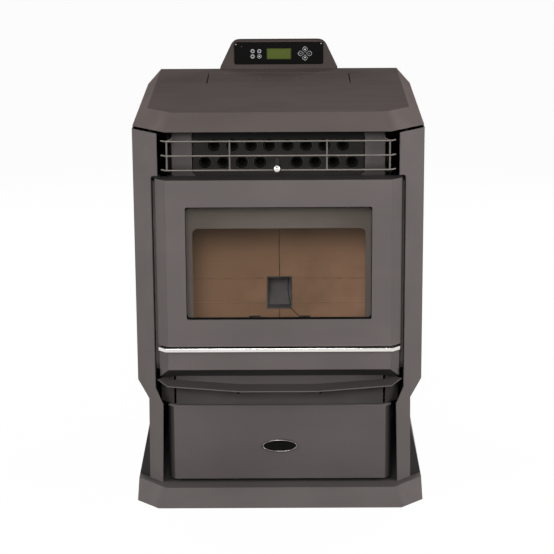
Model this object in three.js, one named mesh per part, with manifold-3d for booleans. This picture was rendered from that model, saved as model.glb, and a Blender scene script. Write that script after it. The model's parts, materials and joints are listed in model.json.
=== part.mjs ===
// Pellet stove with a drawer for the ash, a hinged fire door and a keypad console.
// Millimetres, +Z up, the front faces -Y. Depths are first measured from the front corner of the
// top cover (y = 0 there), and the whole stove is moved at the end so that its box is centred.
import * as THREE from "three";
import { mergeVertices } from "three/addons/utils/BufferGeometryUtils.js";
import Module from "manifold-3d";

const wasm = await Module();
wasm.setup();

// ---------------------------------------------------------------- driving dimensions
const seat = 0.3; // gap between pieces that rest on each other
const sheet = 2; // casing sheet
const plate = 3; // door, apron and chamber plate
// Casing: the half width, the top and the rear of the side walls drive the rest of the outside.
const body = { half: 301, rear: 495, top: 790.8 };
const lap = { plinth: 1.8, flare: 1, cover: -1 }; // how far each stands out beyond the side walls
const reveal = 5.9; // dark gap between the side walls and the cover
const casingRear = body.rear + sheet;
const plinth = {
  half: body.half + lap.plinth,
  front: -113.1,
  cut: 47.1,
  height: 34.7,
  lean: 29.8, // how far the front edge leans back
  cutTop: 61.2,
  draw: 0.7, // how far the sides lean in
  rim: 25,
};
const cover = {
  half: body.half + lap.cover,
  front: -71,
  cut: 71,
  rim: body.top + reveal,
  top: body.top + reveal + 34.7,
  bevel: 30.7,
};
// Flanges that face the front corners: how far each edge lies in from the side wall, and its heights.
const flange = {
  upper: body.half - 52.6,
  notch: body.half - 38.9,
  lower: body.half - 55,
  strip: body.half - 24.4,
  lowerFoot: body.half - 50.7,
  stripFoot: body.half - 22.4,
};
const flangeZ = {
  notchTop: body.top - 88.4,
  notchRound: body.top - 96.5,
  kinkOut: 249.5,
  kinkIn: 243.1,
  waist: 214.8,
  foot: 210.8,
};
const flare = { foot: body.half + lap.flare, slope: 0.2025 };
const cheek = { thick: 2.5, outer: body.half - 38 };

// Front: flat middle, 45 degree corners.
const front = { y: -66, half: body.half - 69.5, chamfer: 19.3, round: 22.5 };
const door = { low: 341.2, high: body.top - 95, back: -24 };
const hinge = { x: front.half + 17.5, y: -43, pin: 2.5, slack: 0.3, tab: 3, gap: 1.6 };
const pane = { half: front.half - 39.7, low: 400, high: door.high - 56.4, corner: 4, lip: 4, thick: 5, lap: 6 };
const retainer = { half: front.half - 5.5, margin: 20, foot: 3, footMargin: 60, overlap: 2 };
const gasket = { half: front.half - 3.5, low: door.low + 9.8, high: door.high - 15.8, corner: 14, width: 10 };
const trim = { bend: front.half + 5.5, end: front.half + 20.5, proud: 5, tail: 6, high: 338.3, height: 7.5, depth: 7 };
const apron = { under: 290.6, wall: front.half - 14, wallLow: 208, foot: 14, ear: 8 };
const lip = {
  z: 258,
  thick: 2.5,
  rise: 4,
  bow: -109, // front edge in the middle
  bend: front.half + 2.5,
  bendY: -83,
  end: front.half + 24.5,
  endY: -47,
  gusset: 80,
  gussetThick: 3,
  gussetDrop: 20,
  width: 35,
  rearBend: front.half - 9.5,
  rearBendY: -50.5,
  rearEnd: front.half + 8.5,
  rearEndY: -36,
};
const drawer = { front: -55, half: front.half - 8.8, chamfer: 12.3, low: 44, high: 206, back: -32 };
const pan = { half: drawer.half - 17.7, rear: 206, high: 180, wall: 1.5 };
const rail = { slack: 0.8, thick: 2.5, high: 12, front: -22 };
const badge = { across: 36.7, up: 13.7, z: 118.6, thick: 2.2, rim: 2.4, well: 0.7 };

// Firebox.
const chamber = { half: 198, front: -16, face: 6, rear: 250, low: 288, wall: 4 };
const mouth = { half: 180.3, low: 378, high: 582, corner: 8 };
const brick = { front: 200, thick: 18, seam: 1.2, high: 560, rib: 4, ribs: [60, 150] };
const spout = { half: 28, low: 344.5, high: 419.5, wall: 2 };
const pot = { half: 62, front: 112, rear: 186, low: 262, high: 326, wall: 5, taper: 12, hole: 2.5 };
const ear = { from: 36, to: 73, slant: 7, up: 7.5, down: 4 };
const airBox = { half: 76, front: 98, rear: 200, low: 205 };
const igniter = { radius: 5, z: 275, from: 181, to: 252 };
const intake = { radius: 25, wall: 2, z: 236, rear: 532 };

// Warm-air outlet: tube bank, scraper, grille.
const exchanger = { half: 177, front: 14, rear: 236, low: body.top - 106.8, high: body.top - 8.8, wall: 3 };
const tube = {
  pitch: 38,
  radius: 11.5,
  wall: 2,
  upper: exchanger.low + 68.5,
  lower: exchanger.low + 33,
  proud: 3,
  sides: 12,
};
const baffle = { inner: exchanger.half + 1.8, outer: body.half - 80.5, foot: 10.7, y: 9 };
const scraper = {
  x: -2.5, // the knob and its rod stand a little left of the middle
  rod: 3,
  slide: 0.5,
  height: tube.lower + 6.5,
  knob: 8.4,
  neck: 5,
  knobY: -82,
  at: 126,
  thick: 3,
  slack: 0.7,
  margin: 12,
};
const grille = {
  bar: 1.7,
  y: -68,
  half: front.half - 2.5,
  tip: 9,
  top: body.top - 13.8,
  pitch: 29.9,
  outer: front.half - 5,
  inner: 98.8,
  leg: 9,
};

// Hopper with its flap, auger and drop chute.
const flap = { half: 156.4, front: 303, axisY: 433.4, gap: 2.3, knuckle: 3, pin: 1.6, slack: 0.2, lug: 2 };
const screw = { x: 40.5, y: 371, radius: 3.6, high: 1.2 };
const seal = { width: 6, inset: 4, high: 6.8 };
const hopper = {
  shoulder: cover.top - 31.4,
  half: 225,
  front: 262,
  rear: 482,
  straight: body.top - 170.8,
  spoutTop: 444,
  brim: 8, // upright edge of the funnel
  out: 24,
  run: 30,
  wall: 1.5,
};
const auger = {
  foot: [430, 372],
  head: [272, 472],
  tube: 27,
  wall: 2,
  flight: 22,
  shaft: 6,
  slack: 0.5,
  pitch: 34,
  thick: 3,
  feed: [42, 100],
  drop: [148, 176],
  window: 20,
  gearbox: [26, 32, 30],
  can: 25,
  motor: 56,
};

// Console on the rear panel.
const consoleBox = {
  front: casingRear - 8,
  rear: casingRear + 27,
  low: cover.top - 31.4,
  foot: 134.3,
  headHalf: 103,
  high: cover.top + 65.7,
  round: 14,
  wall: 3,
};
const keypad = { half: 101.5, low: cover.top + 10.8, high: cover.top + 62.2, thick: 1.2, corner: 5, gap: 0.4 };
const keys = { depth: 2.7, travel: 1 };
const screen = { half: 27.8, x: 0.5, low: cover.top + 22.7, high: cover.top + 47.5, thick: 1.6 };

// Fans and the power inlet.
const flueFan = {
  x: 111 - body.half,
  width: 58,
  y: 372,
  z: 152,
  radius: 66,
  eye: 30,
  outlet: 38,
  rear: casingRear + 48,
};
const flueWheel = { radius: 50, hub: 4.4, blade: 30, tall: 42, disc: 2, gap: 3, blades: 8 };
const flueMotor = { radius: 34, long: 46 };
const duct = { width: 72, ahead: 42, reach: 44, drop: 40 };
const roomFan = {
  x: body.half - 241,
  width: 128,
  y: 388,
  z: 150,
  radius: 70,
  eye: 44,
  outlet: 96,
  throat: 52,
};
const drum = { radius: 52, ring: 10, thick: 3, gap: 8, shaft: 4, blades: 18, blade: 9 };
const roomMotor = { radius: 28, long: 34, arm: 62, armHigh: 14 };
const louvre = { half: 34, high: 4, step: 14, count: 9, at: [22, 108] };
const inlet = { x: body.half - 96, z: 330, half: 14, high: 24, depth: 22, lap: 4 };

// ---------------------------------------------------------------- solids
// A closed three.js geometry as a manifold-3d solid.
function solid(geometry) {
  const bare = geometry.clone();
  bare.deleteAttribute("normal");
  bare.deleteAttribute("uv");
  const merged = mergeVertices(bare, 1e-4);
  const mesh = new wasm.Mesh({
    numProp: 3,
    vertProperties: new Float32Array(merged.attributes.position.array),
    triVerts: new Uint32Array(merged.index.array),
  });
  return new wasm.Manifold(mesh);
}

function geometryOf(made) {
  const mesh = made.getMesh();
  const points = new Float32Array(mesh.numVert * 3);
  for (let i = 0; i < mesh.numVert; i++) {
    points.set(mesh.vertProperties.subarray(i * mesh.numProp, i * mesh.numProp + 3), i * 3);
  }
  const geometry = new THREE.BufferGeometry();
  geometry.setAttribute("position", new THREE.BufferAttribute(points, 3));
  geometry.setIndex(new THREE.BufferAttribute(new Uint32Array(mesh.triVerts), 1));
  geometry.computeVertexNormals();
  return geometry;
}

const join = (...all) => all.reduce((a, b) => a.add(b));
const cut = (from, ...all) => all.reduce((a, b) => a.subtract(b), from);

function box(x, y, z) {
  const geometry = new THREE.BoxGeometry(x[1] - x[0], y[1] - y[0], z[1] - z[0]);
  geometry.translate((x[0] + x[1]) / 2, (y[0] + y[1]) / 2, (z[0] + z[1]) / 2);
  return solid(geometry);
}

const shapeOf = (points) => new THREE.Shape(points.map(([a, b]) => new THREE.Vector2(a, b)));

// An outline (list of points or a THREE.Shape) pushed from one level to another along Z, X or Y.
function pushed(outline, from, to, curveSegments = 6) {
  const shape = Array.isArray(outline) ? shapeOf(outline) : outline;
  return new THREE.ExtrudeGeometry(shape, { depth: to - from, bevelEnabled: false, curveSegments });
}
function alongZ(outline, from, to, curveSegments) {
  return solid(pushed(outline, from, to, curveSegments).translate(0, 0, from));
}
// The outline's points are (y, z).
function alongX(outline, from, to, curveSegments) {
  const turn = new THREE.Matrix4().set(0, 0, 1, from, 1, 0, 0, 0, 0, 1, 0, 0, 0, 0, 0, 1);
  return solid(pushed(outline, from, to, curveSegments).applyMatrix4(turn));
}
// The outline's points are (x, z).
function alongY(outline, from, to, curveSegments) {
  const turn = new THREE.Matrix4().set(1, 0, 0, 0, 0, 0, -1, to, 0, 1, 0, 0, 0, 0, 0, 1);
  return solid(pushed(outline, from, to, curveSegments).applyMatrix4(turn));
}

// Side walls between rings of equal length, one above the other, and a cap at each end.
function loft(rings) {
  const count = rings[0].length;
  const points = rings.flat(2);
  const triangles = [];
  for (let r = 0; r + 1 < rings.length; r++) {
    for (let i = 0; i < count; i++) {
      const a = r * count + i;
      const b = r * count + ((i + 1) % count);
      triangles.push(a, b, b + count, a, b + count, a + count);
    }
  }
  const cap = THREE.ShapeUtils.triangulateShape(rings[0].map(([x, y]) => new THREE.Vector2(x, y)), []);
  const last = (rings.length - 1) * count;
  for (const [a, b, c] of cap) {
    triangles.push(c, b, a, last + a, last + b, last + c);
  }
  const geometry = new THREE.BufferGeometry();
  geometry.setAttribute("position", new THREE.BufferAttribute(new Float32Array(points), 3));
  geometry.setIndex(triangles);
  return solid(geometry);
}

// A round bar between two points.
function rod(from, to, radius, sides = 16) {
  const a = new THREE.Vector3(...from);
  const b = new THREE.Vector3(...to);
  const geometry = new THREE.CylinderGeometry(radius, radius, a.distanceTo(b), sides);
  const along = b.clone().sub(a).normalize();
  geometry.applyQuaternion(new THREE.Quaternion().setFromUnitVectors(new THREE.Vector3(0, 1, 0), along));
  geometry.translate(...a.add(b).multiplyScalar(0.5).toArray());
  return solid(geometry);
}

// The other hand of a piece.
function mirrored(made) {
  const geometry = geometryOf(made).scale(-1, 1, 1);
  const index = geometry.index.array;
  for (let i = 0; i < index.length; i += 3) {
    [index[i + 1], index[i + 2]] = [index[i + 2], index[i + 1]];
  }
  return solid(geometry);
}
const bothHands = (made) => join(made, mirrored(made));

function roundedBox(half, low, high, corner, middle = 0) {
  const s = new THREE.Shape();
  s.moveTo(middle - half + corner, low);
  s.lineTo(middle + half - corner, low);
  s.absarc(middle + half - corner, low + corner, corner, -Math.PI / 2, 0);
  s.lineTo(middle + half, high - corner);
  s.absarc(middle + half - corner, high - corner, corner, 0, Math.PI / 2);
  s.lineTo(middle - half + corner, high);
  s.absarc(middle - half + corner, high - corner, corner, Math.PI / 2, Math.PI);
  s.lineTo(middle - half, low + corner);
  s.absarc(middle - half + corner, low + corner, corner, Math.PI, Math.PI * 1.5);
  return s;
}

function frameY(outer, inner, from, to) {
  return cut(alongY(outer, from, to, 3), alongY(inner, from - 1, to + 1, 3));
}

// ---------------------------------------------------------------- shared planes and outlines
// Level outline with both front corners cut at 45 degrees, counter-clockwise from above.
function cutCorners(half, frontY, rearY, corner, z) {
  return [
    [half, rearY, z],
    [-half, rearY, z],
    [-half, frontY + corner, z],
    [-half + corner, frontY, z],
    [half - corner, frontY, z],
    [half, frontY + corner, z],
  ];
}
const rectangle = (half, y0, y1, z) => [
  [-half, y0, z],
  [half, y0, z],
  [half, y1, z],
  [-half, y1, z],
];

// The 45 degree plane of the front flanges: depth of its outer face at a distance x from the middle.
const flangeY = (x) => x - body.half;
const sheetSlant = sheet * Math.SQRT2;
const seatSlant = seat * Math.SQRT2;
const plinthSeat = plinth.height + seat;
const coverUnder = cover.top - sheet;
// The diagonal under the upper wall runs on inwards until it meets the flared pedestal wall.
const diagonal = (body.half - flange.strip) / (flangeZ.kinkOut - flangeZ.waist);
const flareHalf = (z) => flare.foot - flare.slope * (z - plinth.height);
const waistZ = (flareHalf(0) - flange.strip + diagonal * flangeZ.waist) / (diagonal + flare.slope);
const waistHalf = flareHalf(waistZ);
const cheekInner = cheek.outer - cheek.thick;
const cheekFront = flangeY(cheek.outer) + sheetSlant + seatSlant;
const cheekReach = cheekInner - seat;

// ---------------------------------------------------------------- casing
// Plinth: a bevelled tray, open below, with its lower edge turned in and two guides for the drawer.
function makePlinth() {
  const h = plinth.height;
  const topHalf = plinth.half - plinth.draw;
  const topFront = plinth.front + plinth.lean;
  const outer = loft([
    cutCorners(plinth.half, plinth.front, casingRear, plinth.cut, 0),
    cutCorners(topHalf, topFront, casingRear, plinth.cutTop, h),
  ]);
  const inner = loft([
    cutCorners(plinth.half - plate, plinth.front + plate, casingRear - plate, plinth.cut, plate),
    cutCorners(topHalf - plate, topFront + plate, casingRear - plate, plinth.cutTop, h - plate),
  ]);
  const rim = plinth.rim;
  const hole = cutCorners(plinth.half - rim, plinth.front + rim, casingRear - rim, plinth.cut, 0);
  const guide = box(
    [pan.half + rail.slack, pan.half + rail.slack + rail.thick],
    [rail.front, pan.rear],
    [h - plate / 2, h + rail.high],
  );
  return join(cut(outer, inner, alongZ(hole, -plate, 2 * plate)), bothHands(guide));
}

// Side panel: flat wall, the diagonal below it and the cut-out flange that faces the front corner.
function makeSidePanel() {
  const wall = alongY([
    [body.half, body.top],
    [body.half - sheet, body.top],
    [body.half - sheet, flangeZ.kinkOut + sheet],
    [waistHalf - sheet, waistZ + seat],
    [waistHalf, waistZ + seat],
    [body.half, flangeZ.kinkOut],
  ], flangeY(waistHalf) - sheet, body.rear - seat);
  const beyond = 2 * body.half;
  const ahead = alongZ([[0, flangeY(0)], [beyond, flangeY(beyond)], [beyond, flangeY(0)]], 0, cover.top);
  // The flange is drawn flat, with u measured in its own plane from the wall's corner, then turned.
  const u = (x) => (body.half - x) * Math.SQRT2;
  const s = new THREE.Shape();
  s.moveTo(0, body.top);
  s.lineTo(0, flangeZ.kinkOut);
  s.lineTo(u(flange.strip), flangeZ.waist);
  s.lineTo(u(flange.stripFoot), plinthSeat);
  s.lineTo(u(flange.lowerFoot), plinthSeat);
  s.lineTo(u(flange.lower), flangeZ.foot);
  s.lineTo(u(flange.notch), flangeZ.kinkIn);
  s.lineTo(u(flange.notch), flangeZ.notchRound);
  s.quadraticCurveTo(u(flange.notch), flangeZ.notchTop, u(flange.upper), flangeZ.notchTop);
  s.lineTo(u(flange.upper), body.top);
  const h = Math.SQRT1_2;
  const turn = new THREE.Matrix4().set(
    -h, 0, -h, body.half,
    -h, 0, h, 0,
    0, 1, 0, 0,
    0, 0, 0, 1,
  );
  return join(cut(wall, ahead), solid(pushed(s, 0, sheet, 4).applyMatrix4(turn)));
}

// Flared wall of the pedestal with its own turned-in front, just behind the strip of the side panel.
function makePedestalSide() {
  const y = (x) => flangeY(x) + sheetSlant + seatSlant;
  const tip = flange.lowerFoot + sheet;
  const ring = (z) => {
    const w = flareHalf(z);
    return [
      [w, y(w), z],
      [w, body.rear - seat, z],
      [w - sheet, body.rear - seat, z],
      [w - sheet, y(w - sheet) + sheetSlant, z],
      [tip, y(tip) + sheetSlant, z],
      [tip, y(tip), z],
    ];
  };
  return loft([ring(plinthSeat), ring(waistZ)]);
}

// Upright inner frame that carries the cover, the apron, the outlet frame and the firebox face.
function makeCheek() {
  const step = sheetSlant + seatSlant;
  const rear = body.rear - seat;
  return alongX([
    [cheekFront + step, plinthSeat],
    [rear, plinthSeat],
    [rear, coverUnder - seat],
    [cheekFront + cover.bevel + cover.bevel / 2, coverUnder - seat],
    [cheekFront, body.top],
    [cheekFront, waistZ + plate],
    [cheekFront + step, waistZ + plate],
  ], cheekInner, cheek.outer);
}
// Tab on the left inner frame with the stud that the top of the door turns on.
function makeHingeTab() {
  const reach = cheek.outer - sheet / 4;
  const tip = hinge.x - hinge.pin - hinge.tab;
  const frontY = hinge.y - hinge.pin - hinge.tab;
  const ahead = flangeY(reach) + sheetSlant + seatSlant;
  const low = door.high + hinge.gap;
  const plan = [
    [-reach, door.back],
    [-reach, ahead],
    [-reach + ahead - frontY, frontY],
    [-tip, frontY],
    [-tip, door.back],
  ];
  return join(alongZ(plan, low, low + hinge.tab), hingeStud(door.high - plate - hinge.tab, low + 1, 0));
}
const hingeStud = (low, high, slack) =>
  rod([-hinge.x, hinge.y, low], [-hinge.x, hinge.y, high], hinge.pin + slack, 16);

function makeRearPanel() {
  const right = [
    [flareHalf(plinthSeat), plinthSeat],
    [waistHalf, waistZ],
    [body.half, flangeZ.kinkOut],
    [body.half, body.top],
  ];
  const left = right.map(([x, z]) => [-x, z]).reverse();
  const through = [body.rear - 1, casingRear + 1];
  const round = (x, z, r) => rod([x, through[0], z], [x, through[1], z], r, 32);
  const holes = [
    round(flueFan.x + flueFan.width / 2, flueOutZ, flueFan.outlet + plate / 2),
    round(0, intake.z, intake.radius + plate / 2),
    box([inlet.x - inlet.half, inlet.x + inlet.half], through, [inlet.z - inlet.high, inlet.z + inlet.high]),
  ];
  for (const at of louvre.at) {
    for (let i = 0; i < louvre.count; i++) {
      const x = roomFan.x + at;
      const z = roomFan.z + (i - (louvre.count - 1) / 2) * louvre.step;
      const high = louvre.high / 2;
      holes.push(box([x - louvre.half, x + louvre.half], through, [z - high, z + high]));
    }
  }
  return cut(alongY([...right, ...left], body.rear, casingRear), ...holes);
}

// Top cover: bevelled tray turned down all round, with the opening for the hopper flap and its two lugs.
const flapAxisZ = cover.top - flap.knuckle;
const flapRear = flap.axisY + flap.knuckle;
const flapOpening = flap.half + flap.gap;
const flapPin = (reach, slack) =>
  rod([-reach, flap.axisY, flapAxisZ], [reach, flap.axisY, flapAxisZ], flap.pin + slack, 16);
function makeCover() {
  const topCut = cover.cut - cover.bevel * (2 - Math.SQRT2);
  const layers = (wall, rimZ, topZ) => loft([
    cutCorners(cover.half - wall, cover.front + wall, casingRear - wall, cover.cut, rimZ),
    cutCorners(
      cover.half - cover.bevel - wall,
      cover.front + cover.bevel + wall,
      casingRear - wall,
      topCut,
      topZ,
    ),
  ]);
  const opening = box(
    [-flapOpening, flapOpening],
    [flap.front - flap.gap, flapRear + flap.gap / 2],
    [coverUnder - 1, cover.top + 1],
  );
  const lug = box(
    [flapOpening, flapOpening + flap.lug],
    [flap.axisY - flap.knuckle - 1, flapRear + 1],
    [flapAxisZ - 2 * flap.knuckle, coverUnder + sheet / 4],
  );
  const tray = cut(layers(0, cover.rim, cover.top), layers(sheet, cover.rim - 1, coverUnder), opening);
  return cut(join(tray, bothHands(lug)), flapPin(flapOpening + flap.lug + 1, flap.slack));
}

// Hopper flap: flat plate whose rear edge is rolled round the hinge pin, with two screw heads on it.
function makeFlap() {
  const top = box([-flap.half, flap.half], [flap.front, flap.axisY], [coverUnder, cover.top]);
  const roll = rod([-flap.half, flap.axisY, flapAxisZ], [flap.half, flap.axisY, flapAxisZ], flap.knuckle, 16);
  const profile = [[0, -1], [screw.radius, -1], [screw.radius, 0.3 * screw.high], [0.6 * screw.radius, screw.high], [0, screw.high]];
  const head = new THREE.LatheGeometry(profile.map(([r, z]) => new THREE.Vector2(r, z)), 14);
  head.rotateX(Math.PI / 2).translate(screw.x, screw.y, cover.top);
  return join(top, roll, flapPin(flapOpening + flap.lug, 0), bothHands(solid(head)));
}

// ---------------------------------------------------------------- hopper
const neckHalf = flap.half - seal.inset;
const neckFront = flap.front + seal.inset;
const neckRear = flap.axisY - flap.knuckle - seal.inset;
const sealHigh = coverUnder - seat;
const neckHigh = sealHigh - seal.high - seat;
const outletY = (auger.foot[0] + auger.head[0]) / 2 + 33;
// A wide bin with a neck under the flap.
function makeHopper() {
  const h = hopper;
  const layers = (wall, below, above) => loft([
    rectangle(h.half - wall, h.front + wall, h.rear - wall, h.straight + seat - below),
    rectangle(h.half - wall, h.front + wall, h.rear - wall, h.shoulder - wall),
    rectangle(neckHalf - wall, neckFront + wall, neckRear - wall, h.shoulder + 1 - wall),
    rectangle(neckHalf - wall, neckFront + wall, neckRear - wall, neckHigh + above),
  ]);
  return cut(layers(0, 0, 0), layers(h.wall, 1, 1));
}
// Funnel under the bin, whose spout is cut to lie on the auger tube.
function makeFunnel() {
  const h = hopper;
  const spoutLow = auger.foot[1] + plate;
  const spout = (wall, z) => rectangle(h.out - wall, outletY - h.run + wall, outletY + h.run - wall, z);
  const brim = (wall, z) => rectangle(h.half - wall, h.front + wall, h.rear - wall, z);
  const outer = loft([spout(0, spoutLow), spout(0, h.spoutTop), brim(0, h.straight - h.brim), brim(0, h.straight)]);
  const inner = loft([
    spout(h.wall, spoutLow - 1),
    spout(h.wall, h.spoutTop),
    brim(h.wall, h.straight - h.brim),
    brim(h.wall, h.straight + 1),
  ]);
  return cut(outer, inner, augerSaddle(1));
}
function makeSeal() {
  const w = seal.width;
  const z = [sealHigh - seal.high, sealHigh];
  return cut(
    box([-neckHalf, neckHalf], [neckFront, neckRear], z),
    box([w - neckHalf, neckHalf - w], [neckFront + w, neckRear - w], [z[0] - 1, z[1] + 1]),
  );
}

// Auger: an inclined tube with a screw that lifts the pellets to the head of the drop chute.
// In the auger's own frame Z runs from the foot to the head, and -X faces up.
const foot = new THREE.Vector3(0, ...auger.foot);
const head = new THREE.Vector3(0, ...auger.head);
const augerLong = foot.distanceTo(head);
const augerPlace = new THREE.Matrix4()
  .makeTranslation(foot.x, foot.y, foot.z)
  .multiply(new THREE.Matrix4().lookAt(head, foot, new THREE.Vector3(1, 0, 0)));
const placed = (made) => solid(geometryOf(made).applyMatrix4(augerPlace));
// What a spout that lands on the tube is cut by: the tube with its seat, and all beyond its axis.
function augerSaddle(side) {
  const far = 2 * auger.tube;
  const beyond = side > 0 ? [0, far] : [-far, 0];
  return placed(join(
    rod([0, 0, -far], [0, 0, augerLong + far], auger.tube + seat, 24),
    box(beyond, [-far, far], [-far, augerLong + far]),
  ));
}
function makeAugerTube() {
  const a = auger;
  const ends = 2 * a.wall;
  const outer = rod([0, 0, 0], [0, 0, augerLong], a.tube, 24);
  const bore = rod([0, 0, ends], [0, 0, augerLong - a.wall], a.tube - a.wall, 24);
  const bearings = rod([0, 0, -1], [0, 0, augerLong + 1], a.shaft + a.slack, 16);
  const feed = box([-a.tube - 1, -a.tube / 2], [-a.window, a.window], a.feed);
  const drop = box([a.tube / 2, a.tube + 1], [-a.window, a.window], a.drop);
  return placed(cut(outer, bore, bearings, feed, drop));
}
// Helical flight: a four-cornered section swept up and round the shaft, closed at both ends.
function makeScrew() {
  const a = auger;
  const start = 3 * a.wall;
  const rise = augerLong - 2 * start - a.thick - a.wall;
  const steps = Math.round((rise / a.pitch) * 12);
  const root = a.shaft - 1;
  const section = [[root, 0], [a.flight, 0], [a.flight, a.thick], [root, a.thick]];
  const points = [];
  for (let i = 0; i <= steps; i++) {
    const z = start + (i / steps) * rise;
    const turn = ((z - start) / a.pitch) * Math.PI * 2;
    for (const [r, up] of section) {
      points.push(Math.cos(turn) * r, Math.sin(turn) * r, z + up);
    }
  }
  const last = steps * 4;
  const triangles = [0, 1, 2, 0, 2, 3, last, last + 2, last + 1, last, last + 3, last + 2];
  for (let i = 0; i < last; i += 4) {
    for (let k = 0; k < 4; k++) {
      const p = i + k;
      const q = i + ((k + 1) % 4);
      triangles.push(p, q + 4, q, p, p + 4, q + 4);
    }
  }
  const geometry = new THREE.BufferGeometry();
  geometry.setAttribute("position", new THREE.BufferAttribute(new Float32Array(points), 3));
  geometry.setIndex(triangles);
  const shaft = rod([0, 0, shaftLow], [0, 0, augerLong - a.wall], a.shaft, 16);
  return placed(join(shaft, solid(geometry)));
}
const shaftLow = -18;
function makeAugerMotor() {
  const a = auger;
  const [deep, wide, long] = a.gearbox;
  const gears = box([-deep, deep], [-wide, wide], [-long, -seat]);
  const can = rod([0, 0, -a.motor], [0, 0, 1 - long], a.can, 20);
  const socket = rod([0, 0, shaftLow - seat], [0, 0, 1], a.shaft + seat, 16);
  return placed(cut(join(gears, can), socket));
}
// Drop chute from the auger's head down through the firebox shell to the notch in the bricks.
function makeChute() {
  const s = spout;
  const mouthY = brick.front + 1;
  const kneeY = brick.front + 30;
  const frontY = auger.head[0] - 10;
  const rearY = auger.head[0] + 26;
  const path = (wall, beyond) => [
    [mouthY - beyond, s.low + wall],
    [kneeY, s.low + wall],
    [rearY - wall, s.high - 12],
    [rearY - wall, auger.head[1] + beyond],
    [frontY + wall, auger.head[1] + beyond],
    [frontY + wall, s.high + 12],
    [kneeY, s.high - wall],
    [mouthY - beyond, s.high - wall],
  ];
  const half = s.half - 2 * seat;
  const outer = alongX(path(2 * seat, 0), -half, half);
  const inner = alongX(path(2 * seat + s.wall, 2), s.wall - half, half - s.wall);
  return cut(outer, inner, augerSaddle(-1));
}

// ---------------------------------------------------------------- console
function roundKey(x, z, radius) {
  return (grow) => {
    const s = new THREE.Shape();
    s.absarc(x, z, radius + grow, 0, Math.PI * 2);
    return s;
  };
}
// Drop-shaped key: narrow towards the block's centre, round on the outside.
function arrowKey(x, z, dx, dz) {
  const reach = 6.4;
  const wide = 4.2;
  return (grow) => {
    const out = reach / 2 + grow;
    const across = wide + grow;
    const at = (u, v) => [x + dx * u - dz * v, z + dz * u + dx * v];
    const s = new THREE.Shape();
    s.moveTo(...at(-out, -across * 0.45));
    s.lineTo(...at(out * 0.2, -across));
    s.quadraticCurveTo(...at(out, -across), ...at(out, 0));
    s.quadraticCurveTo(...at(out, across), ...at(out * 0.2, across));
    s.lineTo(...at(-out, across * 0.45));
    return s;
  };
}
const roundKeys = { left: -59.4, right: -44.1, upper: cover.top + 41.3, lower: cover.top + 29.2, radius: 5 };
const arrows = { x: 60, z: cover.top + 35.6, reach: 9.6 };
const keyOutlines = {
  round_key_upper_left: roundKey(roundKeys.left, roundKeys.upper, roundKeys.radius),
  round_key_upper_right: roundKey(roundKeys.right, roundKeys.upper, roundKeys.radius),
  round_key_lower_left: roundKey(roundKeys.left, roundKeys.lower, roundKeys.radius),
  round_key_lower_right: roundKey(roundKeys.right, roundKeys.lower, roundKeys.radius),
  arrow_key_right: arrowKey(arrows.x + arrows.reach, arrows.z, 1, 0),
  arrow_key_left: arrowKey(arrows.x - arrows.reach, arrows.z, -1, 0),
  arrow_key_up: arrowKey(arrows.x, arrows.z + arrows.reach, 0, 1),
  arrow_key_down: arrowKey(arrows.x, arrows.z - arrows.reach, 0, -1),
};
const screenOutline = (grow) =>
  roundedBox(screen.half + grow, screen.low - grow, screen.high + grow, 1, screen.x);

// Housing: lean-sided box behind the rear edge of the cover, with a leg down the rear panel.
function makeConsole() {
  const c = consoleBox;
  const base = cover.top + seat;
  const back = casingRear + seat;
  const chamfer = 10;
  const side = alongX([
    [c.front, base],
    [back, base],
    [back, c.low],
    [c.rear - chamfer, c.low],
    [c.rear, c.low + 2 * chamfer],
    [c.rear, c.high - c.round],
    [c.rear - chamfer, c.high],
    [c.front, c.high],
  ], -c.foot, c.foot);
  const lean = (c.foot - c.headHalf) / (c.high - base);
  const s = new THREE.Shape();
  s.moveTo(-c.foot, c.low);
  s.lineTo(c.foot, c.low);
  s.lineTo(c.foot, base);
  s.lineTo(c.headHalf + lean * c.round, c.high - c.round);
  s.quadraticCurveTo(c.headHalf, c.high, c.headHalf - c.round, c.high);
  s.lineTo(c.round - c.headHalf, c.high);
  s.quadraticCurveTo(-c.headHalf, c.high, -c.headHalf - lean * c.round, c.high - c.round);
  s.lineTo(-c.foot, base);
  const half = c.headHalf - c.wall;
  const inner = c.rear - c.wall;
  const cable = c.headHalf / 3;
  const hollow = join(
    box([-half, half], [c.front + c.wall + 1, inner], [base + c.wall, c.high - c.round]),
    box([-cable, cable], [back + c.wall, inner], [c.low + 2 * chamfer, base + c.wall + 1]),
    box([-cable, cable], [back + c.wall, inner - chamfer], [c.low - 1, c.low + 2 * chamfer + 1]),
  );
  const pockets = Object.values(keyOutlines).map((k) => alongY(k(keypad.gap), c.front - 1, c.front + keys.depth, 4));
  const well = alongY(screenOutline(keypad.gap), c.front - 1, c.front + 1, 2);
  return cut(side.intersect(alongY(s, c.front, c.rear, 4)), ...pockets, well, hollow);
}
const keypadBack = consoleBox.front - seat;
const keypadFront = keypadBack - keypad.thick;
function makeKeypad() {
  const face = alongY(roundedBox(keypad.half, keypad.low, keypad.high, keypad.corner), keypadFront, keypadBack, 4);
  const through = (outline) => alongY(outline, keypadFront - 1, keypadBack + 1, 4);
  const holes = Object.values(keyOutlines).map((k) => through(k(keypad.gap)));
  return cut(face, ...holes, through(screenOutline(keypad.gap)));
}
function makeScreen() {
  const front = consoleBox.front - screen.thick + 0.5;
  return alongY(screenOutline(0), front, consoleBox.front + 1 - seat, 2);
}
const makeKey = (outline) =>
  alongY(outline(0), keypadFront - seat, consoleBox.front + keys.depth - keys.travel - seat, 4);

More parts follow.
